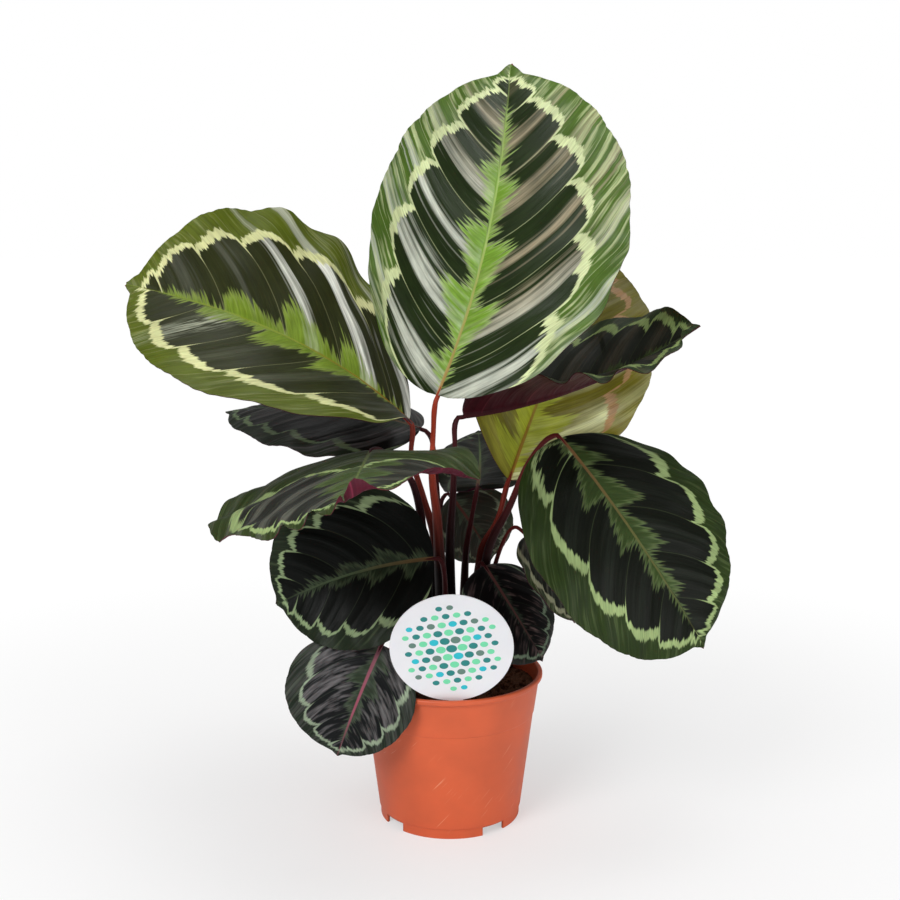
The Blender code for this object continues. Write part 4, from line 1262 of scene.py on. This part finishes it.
class CALATHEA_OT_compost(bpy.types.Operator):
    """Adds the compost with its crumbs"""
    bl_idname = "calathea.compost"
    bl_label = "Add compost"

    def execute(self, context):
        settings = context.scene.calathea_pot
        look = peat(tuple(settings.compost))
        add_piece("compost_plug", compost_mesh(look, settings.crumbs), "compost", "soil")
        return {"FINISHED"}


class CALATHEA_OT_label(bpy.types.Operator):
    """Adds the stick-in label and its printed dots"""
    bl_idname = "calathea.label"
    bl_label = "Add label"

    def execute(self, context):
        settings = context.scene.calathea_label
        front = LABEL_THICKNESS / 2
        sheet = flat_mesh("label_sheet", [label_outline()], -front, front, 0.15, [printed_card()], [0])
        add_piece("label_sheet", sheet, "label_card", "label")
        inks = [printing_ink(f"printing_ink_{name}", code) for name, code in INKS]
        outlines, which = print_dots(settings.design / MM, settings.spacing / MM, settings.dot / MM)
        dots = flat_mesh("label_print", outlines, front - 0.01, front + INK_HEIGHT, 0.01, inks, which)
        add_piece("label_print", dots, "label_card")
        return {"FINISHED"}


class CALATHEA_OT_blades(bpy.types.Operator):
    """Adds the patterned blades"""
    bl_idname = "calathea.blades"
    bl_label = "Add blades"

    def execute(self, context):
        settings = context.scene.calathea_leaf
        for number, leaf in LEAVES.items():
            marks = {**DARK_LEAF, **MARKS[number]}
            seed = 3.7 * int(number)
            looks = [
                leaf_skin(f"waxed_leaf_painted_sheen_{number}", leaf, marks, seed, settings.roughness),
                leaf_back(f"purple_leaf_back_{number}", leaf, marks, seed),
            ]
            mesh = blade_mesh(f"leaf_blade_{number}", leaf, marks, looks, settings.veins)
            add_piece(f"leaf_blade_{number}", mesh, marks["slot"], f"blade_{number}")
        return {"FINISHED"}


class CALATHEA_OT_stalks(bpy.types.Operator):
    """Adds the leaf stalks"""
    bl_idname = "calathea.stalks"
    bl_label = "Add stalks"

    def execute(self, context):
        for number, leaf in LEAVES.items():
            marks = {**DARK_LEAF, **MARKS[number]}
            route = stalk_route(leaf)
            length = length_along(route)[-1]
            look = stalk_skin(f"fleshy_stalk_{number}", marks, length, int(number))
            mesh = stalk_mesh(f"leaf_stalk_{number}", leaf, marks, route, look)
            add_piece(f"leaf_stalk_{number}", mesh, "leaf_stalk", f"stalk_{number}")
        return {"FINISHED"}


class CALATHEA_OT_stage(bpy.types.Operator):
    """Adds the floor, the studio lights and the camera"""
    bl_idname = "calathea.stage"
    bl_label = "Add stage"

    def execute(self, context):
        settings = context.scene.calathea_stage
        scene = context.scene
        scene.view_settings.view_transform = "Standard"
        # The floor's far part glows for the camera alone, so that no horizon shows
        look, tree = start_material(
            "pale_studio_floor", Roughness=0.85, Specular_IOR_Level=0.2, Emission_Color=(1, 1, 1, 1))
        far = put(tree, "VectorMath", [put(tree, "NewGeometry")], out=1, operation="LENGTH")
        far = put(tree, "MapRange", [far, 0.1, 0.7, 0.5], interpolation_type="SMOOTHSTEP")
        far = put(tree, "Math", [far, put(tree, "LightPath")], operation="MULTIPLY")
        pale = put(tree, "Mix", {0: far, 6: linear("#f6f6f6"), 7: linear("#000000")}, **MIX)
        tree.links.new(far, tree.nodes["Principled BSDF"].inputs["Emission Strength"])
        half = FLOOR_HALF / MM
        corners = [(-half, -half, 0), (half, -half, 0), (half, half, 0), (-half, half, 0)]
        floor = mesh_of("studio_floor", corners, [(0, 1, 2, 3)], [finish_material(look, pale)],
                        origin=(0, 0, 0))
        add_object("studio_floor", floor)

        world = bpy.data.worlds.new("studio_surround")
        world.use_nodes = True
        back = world.node_tree.nodes["Background"]
        back.inputs["Color"].default_value = (1, 1, 1, 1)
        # White to the camera, and a dim even light on the plant
        seen = put(world.node_tree, "LightPath")
        strength = put(world.node_tree, "MapRange", {0: seen, 3: 0.25 * settings.light, 4: 1.0})
        world.node_tree.links.new(strength, back.inputs["Strength"])
        scene.world = world
        aim = POT_AXIS + Vector((0, 0, AIM_HEIGHT))
        for name, place, size, power in SOFTBOXES:
            lamp = add_object(name, bpy.data.lights.new(name, "AREA"))
            lamp.data.size = size
            lamp.data.energy = power * settings.light
            lamp.location = POT_AXIS + Vector(place)
            lamp.rotation_euler = (aim - lamp.location).to_track_quat("-Z", "Y").to_euler()
        camera = add_object("camera", bpy.data.cameras.new("camera"))
        camera.data.sensor_width = SENSOR
        camera.data.lens = settings.lens
        camera.location = POT_AXIS + Vector((0, -settings.distance, settings.height))
        camera.rotation_euler = (math.pi / 2 - settings.pitch, 0, 0)
        scene.camera = camera
        return {"FINISHED"}


class CALATHEA_PT_panel(bpy.types.Panel):
    """Lists the pieces of the calathea"""
    bl_idname = "CALATHEA_PT_panel"
    bl_label = "Potted calathea"
    bl_space_type = "VIEW_3D"
    bl_region_type = "UI"
    bl_category = "Calathea"

    def draw(self, context):
        scene = context.scene
        groups = (
            (scene.calathea_pot, (CALATHEA_OT_pot, CALATHEA_OT_compost)),
            (scene.calathea_label, (CALATHEA_OT_label,)),
            (scene.calathea_leaf, (CALATHEA_OT_blades, CALATHEA_OT_stalks)),
            (scene.calathea_stage, (CALATHEA_OT_stage,)),
        )
        for settings, operators in groups:
            box = self.layout.box()
            for name in settings.__annotations__:
                box.prop(settings, name)
            for operator in operators:
                box.operator(operator.bl_idname)


CLASSES = (
    PotSettings, LeafSettings, LabelSettings, StageSettings,
    CALATHEA_OT_pot, CALATHEA_OT_compost, CALATHEA_OT_label, CALATHEA_OT_blades,
    CALATHEA_OT_stalks, CALATHEA_OT_stage, CALATHEA_PT_panel,
)


def register():
    for kind in CLASSES:
        bpy.utils.register_class(kind)
    bpy.types.Scene.calathea_pot = PointerProperty(type=PotSettings)
    bpy.types.Scene.calathea_leaf = PointerProperty(type=LeafSettings)
    bpy.types.Scene.calathea_label = PointerProperty(type=LabelSettings)
    bpy.types.Scene.calathea_stage = PointerProperty(type=StageSettings)


def unregister():
    for name in ("calathea_stage", "calathea_label", "calathea_leaf", "calathea_pot"):
        delattr(bpy.types.Scene, name)
    for kind in reversed(CLASSES):
        bpy.utils.unregister_class(kind)


def main():
    register()
    bpy.ops.calathea.stage()
    bpy.ops.calathea.pot()
    bpy.ops.calathea.compost()
    bpy.ops.calathea.label()
    bpy.ops.calathea.blades()
    bpy.ops.calathea.stalks()


if __name__ == "__main__":
    main()
